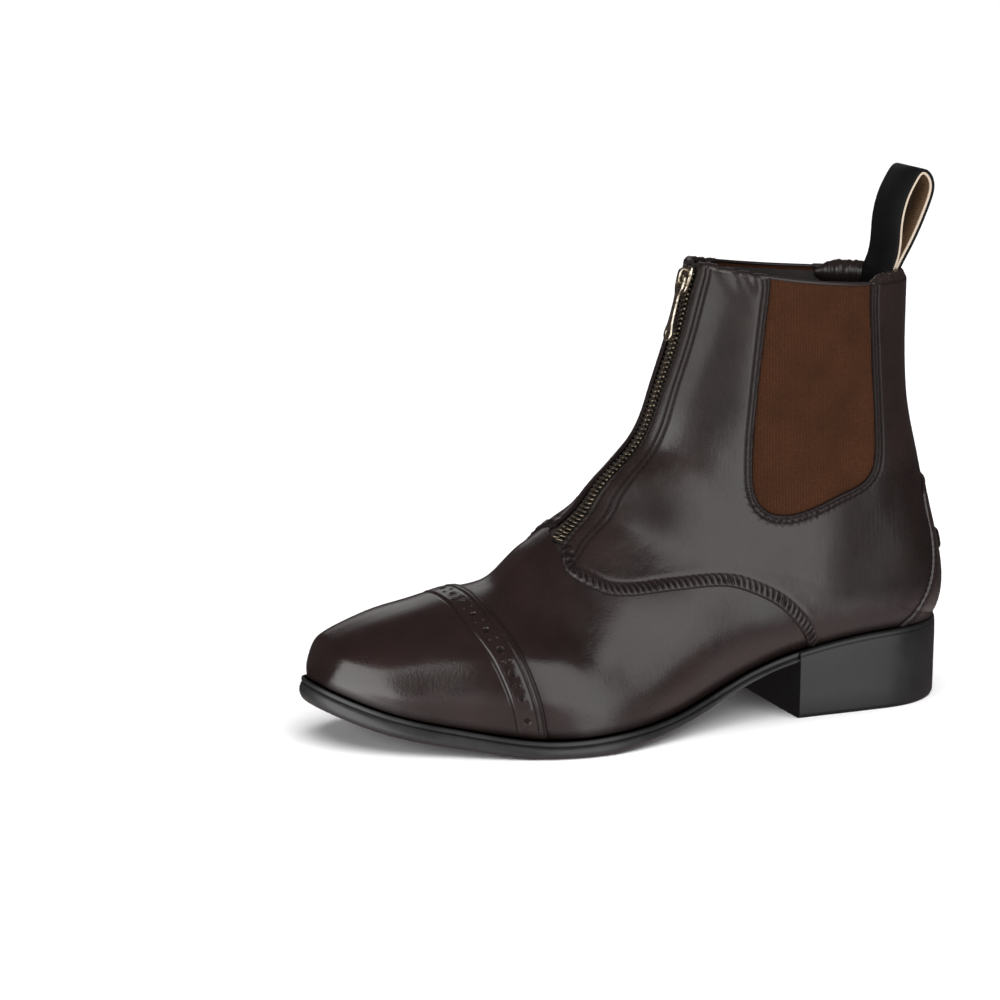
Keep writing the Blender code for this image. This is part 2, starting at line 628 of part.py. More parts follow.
def pull_plate(line, thick):
    """Outline of the tab, down and across, as a plate about the hinge line."""
    points, faces = prism(line, -thick / 2, thick / 2)
    return (hinge_at + points[:, :1] * pull_down + points[:, 1:2] * pull_out
            + points[:, 2:] * np.array([0.0, 1.0, 0.0])), faces


half = PULL_WIDE / 2
TAB_LINE = [(-0.6, -half), (6.0, -half), (9.0, -half * 0.72), (PULL_LONG - 5.0, -half * 0.62),
            (PULL_LONG - 3.4, -half * 0.9), (PULL_LONG - 1.2, -half * 0.9), (PULL_LONG, -half * 0.5),
            (PULL_LONG, half * 0.5), (PULL_LONG - 1.2, half * 0.9), (PULL_LONG - 3.4, half * 0.9),
            (PULL_LONG - 5.0, half * 0.62), (9.0, half * 0.72), (6.0, half), (-0.6, half)]
pull = solid("zip_pull", pull_plate(TAB_LINE, PULL_THICK), nickel, hinge_at)
window = [(0.6, -2.1), (5.2, -2.1), (5.2, 2.1), (0.6, 2.1)]
trim(pull, "DIFFERENCE", solid("pull window", pull_plate(window, 4.0)))
eye = [(PULL_LONG - 2.9 + 1.5 * math.cos(k * math.pi / 6), 1.5 * math.sin(k * math.pi / 6)) for k in range(12)]
trim(pull, "DIFFERENCE", solid("pull eye", pull_plate(eye, 4.0)))

# Pull loop: strap folded over, both ends held inside the back of the collar


def loop_form():
    t = np.linspace(0, len(LOOP_LINE) - 1, 44)
    line = spline(np.arange(len(LOOP_LINE)), LOOP_LINE, t)
    along = np.gradient(line, axis=0)
    away = np.column_stack([-along[:, 1], along[:, 0]])
    away /= np.linalg.norm(away, axis=1)[:, None]
    band = np.vstack([line + away * LOOP_THICK / 2, (line - away * LOOP_THICK / 2)[::-1]])
    count = len(line)
    points = np.vstack([np.column_stack([band[:, 0], np.full(2 * count, y), band[:, 1]])
                        for y in (-LOOP_WIDE / 2, LOOP_WIDE / 2)])
    size = 2 * count
    faces = []
    for k in range(size):
        n = (k + 1) % size
        faces.append((k, n, n + size, k + size))
    for k in range(count - 1):
        faces.append((k, size - 1 - k, size - 2 - k, k + 1))
        faces.append((k + size, k + 1 + size, 2 * size - 2 - k, 2 * size - 1 - k))
    return points, faces


solid("pull_loop", loop_form(), webbing)
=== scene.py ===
import math

import bmesh
import bpy
import numpy as np
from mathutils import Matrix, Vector


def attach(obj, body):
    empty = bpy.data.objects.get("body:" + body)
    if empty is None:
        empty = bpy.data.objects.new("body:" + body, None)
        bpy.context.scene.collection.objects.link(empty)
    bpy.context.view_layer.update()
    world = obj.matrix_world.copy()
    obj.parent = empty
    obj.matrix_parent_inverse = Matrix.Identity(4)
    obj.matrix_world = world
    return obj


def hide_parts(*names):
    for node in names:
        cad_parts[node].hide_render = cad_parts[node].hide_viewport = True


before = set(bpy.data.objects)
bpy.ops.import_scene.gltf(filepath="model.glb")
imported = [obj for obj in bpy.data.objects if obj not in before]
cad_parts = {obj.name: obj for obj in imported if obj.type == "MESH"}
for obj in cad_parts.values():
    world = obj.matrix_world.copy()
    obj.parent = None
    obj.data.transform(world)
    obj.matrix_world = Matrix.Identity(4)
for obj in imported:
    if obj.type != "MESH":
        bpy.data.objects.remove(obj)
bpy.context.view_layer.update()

# Upper. The wall of the boot: brown calf leather pulled over the last and turned under
# at the sole, left open for the zip and the elastic. It shows as the vamp.
MM = 0.001
LAST_MIDDLE = np.array([138.81, 3.32, 0.0])
FOOT_LENGTH = 280.0
HEEL_ROUND = 33.0
TOE_ROUND = 91.0
HEEL_POWER = 2.2
TOE_POWER = 2.35
TOE_FULL = 1.9
NET_STEP = 2.5
NET_COLUMNS = 132
NET_ENDS = (1.5, 277.5)
WALL_TOP = -1.0
WALL_INSIDE = -2.8
SHARP_ANGLE = 48.0

# Edge of the sole: station, middle, outer half width, inner half width
PLAN = np.array([
    [0.0, 0.0, 28.9, 29.0],
    [35.0, 0.0, 31.3, 30.0],
    [70.0, 0.0, 31.4, 28.5],
    [105.0, 0.0, 34.0, 27.0],
    [140.0, 0.0, 43.5, 30.5],
    [175.0, 0.0, 52.4, 39.0],
    [205.0, -1.5, 48.5, 44.5],
    [235.0, -5.8, 41.5, 42.5],
    [280.0, -17.0, 46.5, 40.0],
])

# Upper edge of the sole: station, height
SEAT = np.array([
    [0.0, 35.1],
    [35.0, 34.9],
    [65.0, 31.7],
    [100.0, 23.4],
    [135.0, 11.9],
    [170.0, 8.55],
    [200.0, 8.15],
    [230.0, 12.2],
    [255.0, 17.3],
    [280.0, 26.6],
])

# Sections of the last: base x and z, crown x and z, middle, outer and inner half width,
# level of the widest place, outer and inner crown power, length of the rounded back,
# share of the width at the back, sag of the sides, crowding toward the base
SECTIONS = np.array([
    [14.4, 183.6, 113.9, 194.0, 0.0, 31.0, 31.0, 0.50, 2.20, 2.20, 48.0, 1.00, 3.0, 1.0],
    [15.1, 160.0, 122.2, 163.1, 0.0, 32.0, 32.0, 0.50, 2.20, 2.20, 48.0, 1.00, 1.0, 1.0],
    [13.0, 128.0, 131.0, 138.4, 0.0, 33.0, 33.0, 0.48, 2.10, 2.20, 45.0, 1.00, 0.0, 1.0],
    [6.0, 95.0, 140.4, 117.8, 0.0, 34.5, 34.0, 0.44, 2.00, 2.30, 41.0, 0.99, 0.0, 1.0],
    [-1.7, 62.0, 156.7, 102.7, 1.0, 35.0, 36.5, 0.40, 2.00, 2.45, 36.0, 0.93, 0.0, 1.0],
    [0.0, 35.1, 166.3, 92.8, 2.0, 35.0, 38.0, 0.38, 1.95, 2.55, 33.0, 0.79, 0.0, 1.0],
    [22.0, 0.0, 176.4, 86.3, 3.0, 35.0, 39.5, 0.38, 1.90, 2.60, 33.0, 0.79, 0.0, 0.6],
    [58.0, 0.0, 186.8, 79.7, 3.5, 37.0, 40.5, 0.36, 1.90, 2.60, 33.0, 0.79, 0.0, 0.2],
    [98.0, 0.0, 196.0, 72.5, 3.0, 41.5, 41.0, 0.34, 1.90, 2.60, 33.0, 0.79, 0.0, 0.0],
    [138.0, 0.0, 205.4, 64.2, 1.5, 49.0, 41.5, 0.29, 2.00, 2.55, 33.0, 0.79, 0.0, 0.0],
    [172.0, 0.0, 218.6, 61.3, -1.0, 54.6, 43.3, 0.26, 2.05, 2.55, 33.0, 0.79, 0.0, 0.0],
    [200.0, 0.0, 234.1, 56.7, -5.0, 52.2, 42.8, 0.24, 2.10, 2.45, 33.0, 0.79, 0.0, 0.0],
    [224.0, 0.0, 246.5, 52.8, -8.0, 44.1, 38.3, 0.23, 2.15, 2.75, 33.0, 0.79, 0.0, 0.0],
    [246.0, 0.0, 259.2, 47.9, -11.0, 35.9, 31.8, 0.23, 2.20, 2.95, 33.0, 0.79, 0.0, 0.0],
    [263.0, 0.0, 269.9, 43.2, -14.0, 27.6, 23.7, 0.24, 2.20, 2.95, 33.0, 0.79, 0.0, 0.0],
    [274.5, 0.0, 274.7, 38.3, -16.0, 17.4, 14.6, 0.27, 2.20, 2.65, 33.0, 0.79, 0.0, 0.0],
    [279.0, 0.0, 278.4, 27.9, -17.0, 8.0, 6.6, 0.35, 2.20, 2.20, 33.0, 0.79, 0.0, 0.0],
])
HEEL_ROW = 5


def spline(knots, values, x):
    """Natural cubic through the rows of a table."""
    knots = np.asarray(knots, float)
    values = np.asarray(values, float)
    count = len(knots)
    step = np.diff(knots)
    matrix = np.eye(count)
    right = np.zeros_like(values)
    for i in range(1, count - 1):
        matrix[i, i - 1:i + 2] = step[i - 1], 2 * (step[i - 1] + step[i]), step[i]
        right[i] = 6 * ((values[i + 1] - values[i]) / step[i] - (values[i] - values[i - 1]) / step[i - 1])
    bend = np.linalg.solve(matrix, right)
    x = np.clip(np.asarray(x, float), knots[0], knots[-1])
    k = np.clip(np.searchsorted(knots, x, side="right") - 1, 0, count - 2)
    h = step[k]
    t = x - knots[k]
    if values.ndim > 1:
        h = h[..., None]
        t = t[..., None]
    s = h - t
    curve = (bend[k] * s ** 3 + bend[k + 1] * t ** 3) / (6 * h)
    return curve + (values[k] / h - bend[k] * h / 6) * s + (values[k + 1] / h - bend[k + 1] * h / 6) * t


def travel(points):
    """Distance along a path at each of its points."""
    return np.concatenate([[0], np.cumsum(np.linalg.norm(np.diff(points, axis=0), axis=1))])


def unit(ways):
    return ways / np.linalg.norm(ways, axis=-1, keepdims=True)


def heel_round(distance, length):
    """Share of the full width at a distance from the back of a rounded heel."""
    return np.sqrt(np.clip(1 - np.clip(1 - distance / length, 0, 1) ** HEEL_POWER, 0, 1))


def sole_edge(x, rounded=True):
    """Outer and inner y of the sole edge at a station, without the rim."""
    x = np.asarray(x, float)
    middle, outer, inner = np.moveaxis(spline(PLAN[:, 0], PLAN[:, 1:], x), -1, 0)
    toe = np.clip((x - (FOOT_LENGTH - TOE_ROUND)) / TOE_ROUND, 0, 1)
    ends = np.clip(1 - toe ** TOE_POWER, 0, 1) ** (1 / TOE_FULL)
    if rounded:
        ends = ends * heel_round(x, HEEL_ROUND)
    return middle + outer * ends, middle - inner * ends


def seat(x):
    return spline(SEAT[:, 0], SEAT[:, 1], x)


def fan_knots():
    """Distance down the fan of sections, along their middles."""
    below = np.arange(len(SECTIONS)) > HEEL_ROW
    base_z = np.where(below, seat(SECTIONS[:, 0]), SECTIONS[:, 1])
    middle = (np.column_stack([SECTIONS[:, 0], base_z]) + SECTIONS[:, 2:4]) / 2
    return travel(middle)


KNOTS = fan_knots()
FAN_HEEL = KNOTS[HEEL_ROW]


def section_rows(u):
    u = np.atleast_1d(np.asarray(u, float))
    rows = spline(KNOTS, SECTIONS, u)
    on_sole = u >= FAN_HEEL - 1e-6
    rows[on_sole, 0] = np.maximum(rows[on_sole, 0], 0.0)
    back = spline(KNOTS[:HEEL_ROW + 1], SECTIONS[:HEEL_ROW + 1, 1], u)
    rows[:, 1] = np.where(on_sole, seat(rows[:, 0]), back)
    return rows, on_sole


def surface(u, v):
    """Points of the finished leather: v is -1 at the inner base, 0 on the crown, 1 at the outer base."""
    rows, on_sole = section_rows(u)
    base_x, base_z, crown_x, crown_z, middle, wide_out, wide_in, level = [rows[:, i, None] for i in range(8)]
    power_out, power_in, back_round, back_wide, sag, crowd = [rows[:, i, None] for i in range(8, 14)]
    v = np.atleast_1d(np.asarray(v, float))[None, :]
    on_sole = on_sole[:, None]
    outer = v >= 0
    wide = np.where(outer, wide_out, wide_in)
    power = np.where(outer, power_out, power_in)
    edge_out, edge_in = sole_edge(base_x, False)
    edge = np.where(on_sole, np.where(outer, edge_out - middle, middle - edge_in), back_wide * wide)
    edge = np.clip(edge, 0, wide)
    tall = np.hypot(crown_x - base_x, crown_z - base_z)
    low = level * tall
    above = wide + tall - low
    foot = edge * heel_round(np.where(on_sole, base_x, 0.0), back_round)
    place = above / (above + low + wide - foot)
    a = np.abs(v)
    t = np.clip(a / place, 0, 1) * math.pi / 2
    high_h = low + (tall - low) * np.clip(np.cos(t), 0, 1) ** (2 / power)
    high_y = wide * np.sin(t) ** (2 / power)
    b = np.clip((a - place) / (1 - place), 0, 1)
    crowd = np.clip(crowd, 0, 1)
    low_h = low * (1 - (1 - crowd) * b - crowd * np.sin(b * math.pi / 2))
    from_back = (crown_x - base_x) * low_h / tall + np.where(on_sole, base_x, 0.0)
    bulge = np.sin(math.pi / 2 * low_h / low)
    low_y = (edge + (wide - edge) * bulge) * heel_round(from_back, back_round)
    y = np.where(a <= place, high_y, low_y)
    f = np.where(a <= place, high_h, low_h) / tall
    x = base_x + (crown_x - base_x) * f
    z = base_z + (crown_z - base_z) * f - sag * np.sin(math.pi * np.clip(a, 0, 1)) ** 2
    return np.stack([x, middle + np.where(outer, 1, -1) * y, z], -1)


def corner_normals(points, faces):
    """Normal at each point, weighted by the size of its faces."""
    across = np.cross(points[faces[:, 1]] - points[faces[:, 0]], points[faces[:, 2]] - points[faces[:, 0]])
    normals = np.zeros_like(points)
    for k in range(3):
        np.add.at(normals, faces[:, k], across)
    return normals / np.maximum(np.linalg.norm(normals, axis=1), 1e-12)[:, None]


# Columns of the net: point, normal, place down the fan, place across it, distance from
# the collar, foot line flag; the panels add their own columns of edge distances
POINT = slice(0, 3)
NORMAL = slice(3, 6)
DOWN, ACROSS, COLLAR, FOOT, OWN = 6, 7, 8, 9, 10
HEAD, TAIL = slice(None, -1), slice(1, None)
CELL = ((HEAD, HEAD), (TAIL, HEAD), (TAIL, TAIL), (HEAD, TAIL))


def triangles(*corners):
    """Faces from lists of their first, second and third points."""
    return np.vstack([np.column_stack(three) for three in corners])


def cell_corners(index):
    """First, second, third and fourth points of the cells of a grid."""
    return [index[rows, columns].ravel() for rows, columns in CELL]


def lasted_net(step, columns):
    """Net of triangles over the finished last, closed at the back of the shaft and at the toe."""
    shaft = np.linspace(0, FAN_HEEL, int(FAN_HEEL * 1.25 / step))
    fine = np.linspace(FAN_HEEL, KNOTS[-1], 4000)
    base_x = np.maximum.accumulate(section_rows(fine)[0][:, 0])
    along = np.linspace(*NET_ENDS, 2000)
    crowd = 1 + 1.2 * np.exp(-along / 12) + 1.6 * np.exp((along - NET_ENDS[1]) / 10)
    count = np.concatenate([[0], np.cumsum((crowd[1:] + crowd[:-1]) / 2 * np.diff(along))])
    stations = np.interp(np.arange(0, count[-1], step), count, along)
    u = np.concatenate([shaft, np.interp(stations, base_x, fine)])
    v = np.linspace(-1, 1, columns + 1)
    grid = surface(u, v)
    collar = np.concatenate([np.zeros((1, columns + 1)),
                             np.cumsum(np.linalg.norm(np.diff(grid, axis=0), axis=2), axis=0)])
    index = np.arange(grid.shape[0] * grid.shape[1]).reshape(grid.shape[:2])
    index[:len(shaft), columns] = index[:len(shaft), 0]
    foot = np.zeros(grid.shape[:2])
    foot[len(shaft) - 1:, [0, columns]] = 1.0
    flat = np.column_stack([grid.reshape(-1, 3), np.zeros((grid.size // 3, 3)), np.repeat(u, columns + 1),
                            np.tile(v, len(u)), collar.ravel(), foot.ravel()])
    toe_y = (sole_edge(FOOT_LENGTH)[0] + sole_edge(FOOT_LENGTH)[1]) / 2
    tip = np.array([[FOOT_LENGTH, toe_y, seat(FOOT_LENGTH), 0, 0, 0, KNOTS[-1], 0, 400.0, 1.0]])
    flat = np.vstack([flat, tip])
    a, b, c, d = cell_corners(index)
    points, last = flat[:, POINT], index[-1]
    short = np.linalg.norm(points[a] - points[c], axis=1) < np.linalg.norm(points[b] - points[d], axis=1)
    faces = triangles((a, b, np.where(short, c, d)), (np.where(short, a, b), c, d),
                      (last[:-1], np.full(columns, len(flat) - 1), last[1:]))
    normals = corner_normals(flat[:, POINT], faces)
    normals[flat[:, FOOT] > 0.5, 2] = 0.0
    flat[:, NORMAL] = normals / np.maximum(np.linalg.norm(normals, axis=1), 1e-12)[:, None]
    used, faces = np.unique(faces, return_inverse=True)
    return flat[used], faces.reshape(-1, 3)


def split(rows, faces, column, level):
    """Cuts a net along one level of a column; gives the rows, the faces and the cut's segments."""
    side = rows[:, column] - level
    side[np.abs(side) < 1e-5] = 1e-5
    up = side > 0
    high = up[faces].sum(axis=1)
    crossed = (high == 1) | (high == 2)
    tri = faces[crossed]
    order = np.arange(len(tri))
    lone = (up[tri] == (high[crossed] == 1)[:, None]).argmax(axis=1)
    i, j, k = tri[order, lone], tri[order, (lone + 1) % 3], tri[order, (lone + 2) % 3]
    sides = np.sort(np.vstack([np.column_stack([i, j]), np.column_stack([i, k])]), axis=1)
    ends, number = np.unique(sides, axis=0, return_inverse=True)
    number = number.ravel()
    t = side[ends[:, 0]] / (side[ends[:, 0]] - side[ends[:, 1]])
    fresh = rows[ends[:, 0]] + (rows[ends[:, 1]] - rows[ends[:, 0]]) * t[:, None]
    p, q = len(rows) + number[:len(tri)], len(rows) + number[len(tri):]
    faces = np.vstack([faces[~crossed], triangles((i, p, q), (p, j, k), (p, k, q))])
    return np.vstack([rows, fresh]), faces, np.column_stack([p, q])


def trim(rows, faces, column, level=0.0):
    """Keeps the part of a net that lies over a level of a column."""
    near = rows[faces, column].max(axis=1) > level
    rows, faces = split(rows, faces[near], column, level)[:2]
    return rows, faces[rows[faces, column].mean(axis=1) > level]


def refine(rows, faces, wanted, rounds=3):
    """Halves the sides of a net that are long for the size wanted at their middle."""
    for _ in range(rounds):
        sides = np.sort(faces[:, [0, 1, 1, 2, 2, 0]].reshape(-1, 2), axis=1)
        ends, number = np.unique(sides, axis=0, return_inverse=True)
        number = number.reshape(-1, 3)
        middle = (rows[ends[:, 0]] + rows[ends[:, 1]]) / 2
        length = np.linalg.norm(rows[ends[:, 0], POINT] - rows[ends[:, 1], POINT], axis=1)
        halved = length > 1.4 * wanted(middle)
        place = len(rows) + np.cumsum(halved) - 1
        rows = np.vstack([rows, middle[halved]])
        marks = halved[number]
        count = marks.sum(axis=1)
        parts = [faces[count == 0]]
        for total in (1, 2):
            some = count == total
            tri, mark, mid = faces[some], marks[some], place[number[some]]
            order = np.arange(len(tri))
            turn_to = mark.argmax(axis=1) if total == 1 else (~mark).argmax(axis=1)
            a, b, c = (tri[order, (turn_to + k) % 3] for k in range(3))
            ab, bc, ca = (mid[order, (turn_to + k) % 3] for k in range(3))
            if total == 1:
                parts.append(triangles((a, ab, c), (ab, b, c)))
            else:
                parts.append(triangles((a, b, bc), (a, bc, ca), (ca, bc, c)))
        some = count == 3
        a, b, c = faces[some].T
        ab, bc, ca = place[number[some]].T
        parts.append(triangles((a, ab, ca), (ab, b, bc), (ca, bc, c), (ab, bc, ca)))
        faces = np.vstack(parts)
    return rows, faces


def smooth_line(points, step=1.5):
    """Rounded line through the corners of an open outline."""
    points = np.asarray(points, float)
    place = travel(points)
    return spline(place, points, np.arange(0, place[-1], step))


def side_distance(rows, line):
    """Distance in side view to a closed outline, over zero inside it, and the place along the outline."""
    line = np.asarray(line, float)
    spot = rows[:, [0, 2]]
    nearest = np.full(len(spot), np.inf)
    place = np.zeros(len(spot))
    inside = np.zeros(len(spot), bool)
    start = 0.0
    for a, b in zip(line, np.roll(line, -1, axis=0)):
        along = b - a
        length = np.linalg.norm(along)
        t = np.clip((spot - a) @ along / length ** 2, 0, 1)
        gap = ((spot - a - t[:, None] * along) ** 2).sum(axis=1)
        closer = gap < nearest
        nearest[closer] = gap[closer]
        place[closer] = start + t[closer] * length
        start += length
        crosses = (a[1] > spot[:, 1]) != (b[1] > spot[:, 1])
        inside ^= crosses & (spot[:, 0] < a[0] + (spot[:, 1] - a[1]) * along[0] / (along[1] + 1e-12))
    return np.where(inside, 1, -1) * np.sqrt(nearest), place


def leather_distance(rows, faces, field):
    """Side-view distance turned into distance along the slanting leather."""
    a, b, c = (rows[faces[:, k], POINT] for k in range(3))
    across = np.cross(b - a, c - a)
    double = np.maximum(np.linalg.norm(across, axis=1), 1e-9)[:, None]
    facing = across / double
    parts = field[faces]
    slope = np.cross(facing, c - b) * parts[:, :1] + np.cross(facing, a - c) * parts[:, 1:2]
    slope += np.cross(facing, b - a) * parts[:, 2:]
    total = np.zeros((len(rows), 3))
    weight = np.zeros((len(rows), 1))
    for k in range(3):
        np.add.at(total, faces[:, k], slope)
        np.add.at(weight, faces[:, k], double)
    steep = np.linalg.norm(total / np.maximum(weight, 1e-9), axis=1)
    return field / np.clip(steep, 0.35, 1.0)


def with_columns(rows, *columns):
    return np.column_stack([rows, *columns])


# Soft creases and hollows of the pulled leather: side (1 outer, -1 inner, 0 both), start
# x and z, end x and z, depth, half width
CREASES = [
    (1, 150.0, 92.0, 138.0, 74.0, 0.9, 13.0),
    (-1, 150.0, 92.0, 138.0, 74.0, 0.7, 13.0),
    (1, 128.0, 112.0, 112.0, 96.0, 0.55, 7.0),
    (-1, 128.0, 112.0, 110.0, 98.0, 0.55, 7.0),
    (1, 134.0, 104.0, 118.0, 84.0, 0.40, 5.0),
    (1, 36.0, 84.0, 52.0, 66.0, 0.60, 11.0),
    (-1, 34.0, 86.0, 52.0, 64.0, 0.60, 11.0),
    (1, 24.0, 108.0, 33.0, 92.0, 0.35, 5.0),
    (1, 172.0, 60.0, 180.0, 44.0, 0.35, 7.0),
    (-1, 170.0, 62.0, 182.0, 40.0, 0.40, 7.0),
    (0, 193.0, 70.0, 200.0, 50.0, 0.30, 5.0),
    (1, 107.0, 168.0, 112.0, 140.0, 0.35, 8.0),
    (-1, 107.0, 168.0, 112.0, 140.0, 0.35, 8.0),
]
STREAK_X, STREAK_Z = 42.0, 80.0
SMOOTH_TOE = 205.0


def relief(rows):
    """Height of the creases, of the fine streaks by the heel and of the slow waves of pulled skin."""
    x, y, z = rows[:, 0], rows[:, 1], rows[:, 2]
    wave = np.sin(x / 7.1 + 0.8 * np.sin(z / 11.0)) * np.sin(z / 8.3 + 1.3 * np.sin(y / 9.0))
    height = 0.13 * wave + 0.10 * np.sin(x / 13.7 + z / 9.1 + np.sin(y / 7.0))
    height *= np.clip((SMOOTH_TOE - x) / 50.0, 0.25, 1)
    streak = np.exp(-((x - STREAK_X) / 12.0) ** 2 - ((z - STREAK_Z) / 13.0) ** 2)
    height += streak * (0.05 * np.sin(3.2 * x + 0.9 * np.sin(z / 5.0)) + 0.03 * np.sin(5.3 * x + z / 4.0))
    for side, x1, z1, x2, z2, depth, width in CREASES:
        start, along = np.array([x1, z1]), np.array([x2 - x1, z2 - z1])
        spot = rows[:, [0, 2]] - start
        t = np.clip(spot @ along / (along @ along), 0, 1)
        gap = np.linalg.norm(spot - t[:, None] * along, axis=1) / width
        dip = -depth * np.exp(-gap ** 2) + 0.25 * depth * np.exp(-(gap - 1.7) ** 2 * 2)
        height += dip if side == 0 else dip * np.clip(0.5 + side * y / 16.0, 0, 1)
    return height


def edge_round(distance, radius):
    """Quarter round rise of a folded edge."""
    return np.sqrt(np.clip(1 - (1 - np.clip(distance / radius, 0, 1)) ** 2, 0, 1))


def panel(rows, faces, top, under):
    """Closed panel between two heights over the net: points, faces, normals and the rows used."""
    used, faces = np.unique(faces, return_inverse=True)
    faces = faces.reshape(-1, 3)
    layers = []
    for height in (top, under):
        points = rows[used, POINT] + rows[used, NORMAL] * height[used, None]
        foot = rows[used, FOOT] > 0.98
        points[foot, 2] = seat(points[foot, 0])
        layers.append(points)
    count = len(used)
    sides = faces[:, [0, 1, 1, 2, 2, 0]].reshape(-1, 2)
    rim = sides[~np.isin(sides[:, 0] * count + sides[:, 1], sides[:, 1] * count + sides[:, 0])]
    p, q = rim.T
    walls = triangles((q, p, p + count), (q, p + count, q + count))
    points = np.vstack(layers)
    normals = np.vstack([corner_normals(layers[0], faces), -corner_normals(layers[1], faces)])
    return points, np.vstack([faces, faces[:, ::-1] + count, walls]), normals, np.concatenate([used, used])


def new_item(name, points, edges=(), faces=()):
    """Object with a mesh from millimetres on the last."""
    mesh = bpy.data.meshes.new(name)
    mesh.from_pydata(((np.asarray(points) - LAST_MIDDLE) * MM).tolist(), edges, faces)
    item = bpy.data.objects.new(name, mesh)
    bpy.context.scene.collection.objects.link(item)
    return item


def make_piece(name, form, paint, slot, node=None, body="boot", fields=None, normals=None):
    """Smooth piece on a body of the frame; with no normals given, its faces are turned outward."""
    item = new_item(name, form[0], (), form[1])
    for key, values in (fields or {}).items():
        values = np.full(len(form[0]), values, np.float32)
        item.data.attributes.new(key, "FLOAT", "POINT").data.foreach_set("value", values)
    if normals is None:
        work = bmesh.new()
        work.from_mesh(item.data)
        bmesh.ops.recalc_face_normals(work, faces=work.faces[:])
        work.to_mesh(item.data)
        work.free()
    item.data.shade_smooth()
    if normals is None:
        item.data.set_sharp_from_angle(angle=math.radians(SHARP_ANGLE))
    else:
        item.data.normals_split_custom_set_from_vertices(normals.tolist())
    item.data.materials.append(paint)
    return fit_piece(item, slot, node, body)


def fit_piece(item, slot, node=None, body="boot"):
    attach(item, body)
    if node:
        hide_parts(node)
    return item


def panel_piece(name, rows, faces, top, under, paint, slot, node, key=None, mark=None):
    """Panel between two heights over the net, with a mark at each of its points."""
    points, faces, normals, used = panel(rows, faces, top, under)
    fields = {} if key is None else {key: mark[used]}
    return make_piece(name, (points, faces.tolist()), paint, slot, node, "boot", fields, normals)


def paint_base(name, colour, roughness, **sockets):
    """Material with its constant values on the shader, and its node tree."""
    paint = bpy.data.materials.new(name)
    paint.use_nodes = True
    shader = paint.node_tree.nodes["Principled BSDF"]
    shader.inputs["Base Color"].default_value = (*colour, 1.0)
    shader.inputs["Roughness"].default_value = roughness
    for key, value in sockets.items():
        shader.inputs[key.replace("_", " ")].default_value = value
    return paint, paint.node_tree, shader


def feed(tree, value, socket):
    """Sets a socket to a fixed value, or joins it to the socket that feeds it."""
    if isinstance(value, bpy.types.NodeSocket):
        tree.links.new(value, socket)
    else:
        socket.default_value = value


def add_node(tree, kind, values=None, **settings):
    """Node with its settings, and with its inputs fixed or fed."""
    node = tree.nodes.new(kind)
    for key, value in settings.items():
        setattr(node, key, value)
    for key, value in (values or {}).items():
        feed(tree, value, node.inputs[key])
    return node


def own_place(tree):
    return add_node(tree, "ShaderNodeTexCoord").outputs["Object"]


def own_mark(tree, name):
    return add_node(tree, "ShaderNodeAttribute", attribute_name=name).outputs["Fac"]


def noise(tree, place, scale, detail, roughness=0.5):
    """Cloudy values; three scales stretch the clouds along the axes."""
    if isinstance(scale, tuple):
        place = add_node(tree, "ShaderNodeMapping", {"Vector": place, "Scale": scale}).outputs["Vector"]
        scale = 1.0
    values = {"Vector": place, "Scale": scale, "Detail": detail, "Roughness": roughness}
    return add_node(tree, "ShaderNodeTexNoise", values).outputs["Fac"]


def ranged(tree, value, start, end, low, high):
    """Value carried over from one range to another."""
    values = {"Value": value, "From Min": start, "From Max": end, "To Min": low, "To Max": high}
    return add_node(tree, "ShaderNodeMapRange", values).outputs["Result"]


def times(colour, share):
    return tuple(share * c for c in colour)


def colour_ramp(tree, source, stops):
    ramp = add_node(tree, "ShaderNodeValToRGB", {"Fac": source})
    while len(ramp.color_ramp.elements) < len(stops):
        ramp.color_ramp.elements.new(0.5)
    for element, (place, colour) in zip(ramp.color_ramp.elements, stops):
        element.position = place
        element.color = (*colour, 1.0)
    return ramp.outputs["Color"]


def mixed(tree, kind, factor, first, second):
    """Mix of two colours, each a socket or a fixed colour."""
    values = {0: factor, 6: first, 7: second}
    return add_node(tree, "ShaderNodeMix", values, data_type="RGBA", blend_type=kind).outputs[2]


def finish(tree, shader, values, *bumps):
    """Feeds the shader and lays bumps over one another: height, strength and depth, which is
    under zero where the height counts downward."""
    values = dict(values)
    for height, strength, depth in bumps:
        inputs = {"Height": height, "Strength": strength, "Distance": abs(depth)}
        if "Normal" in values:
            inputs["Normal"] = values["Normal"]
        values["Normal"] = add_node(tree, "ShaderNodeBump", inputs, invert=depth < 0).outputs["Normal"]
    for key, value in values.items():
        feed(tree, value, shader.inputs[key])


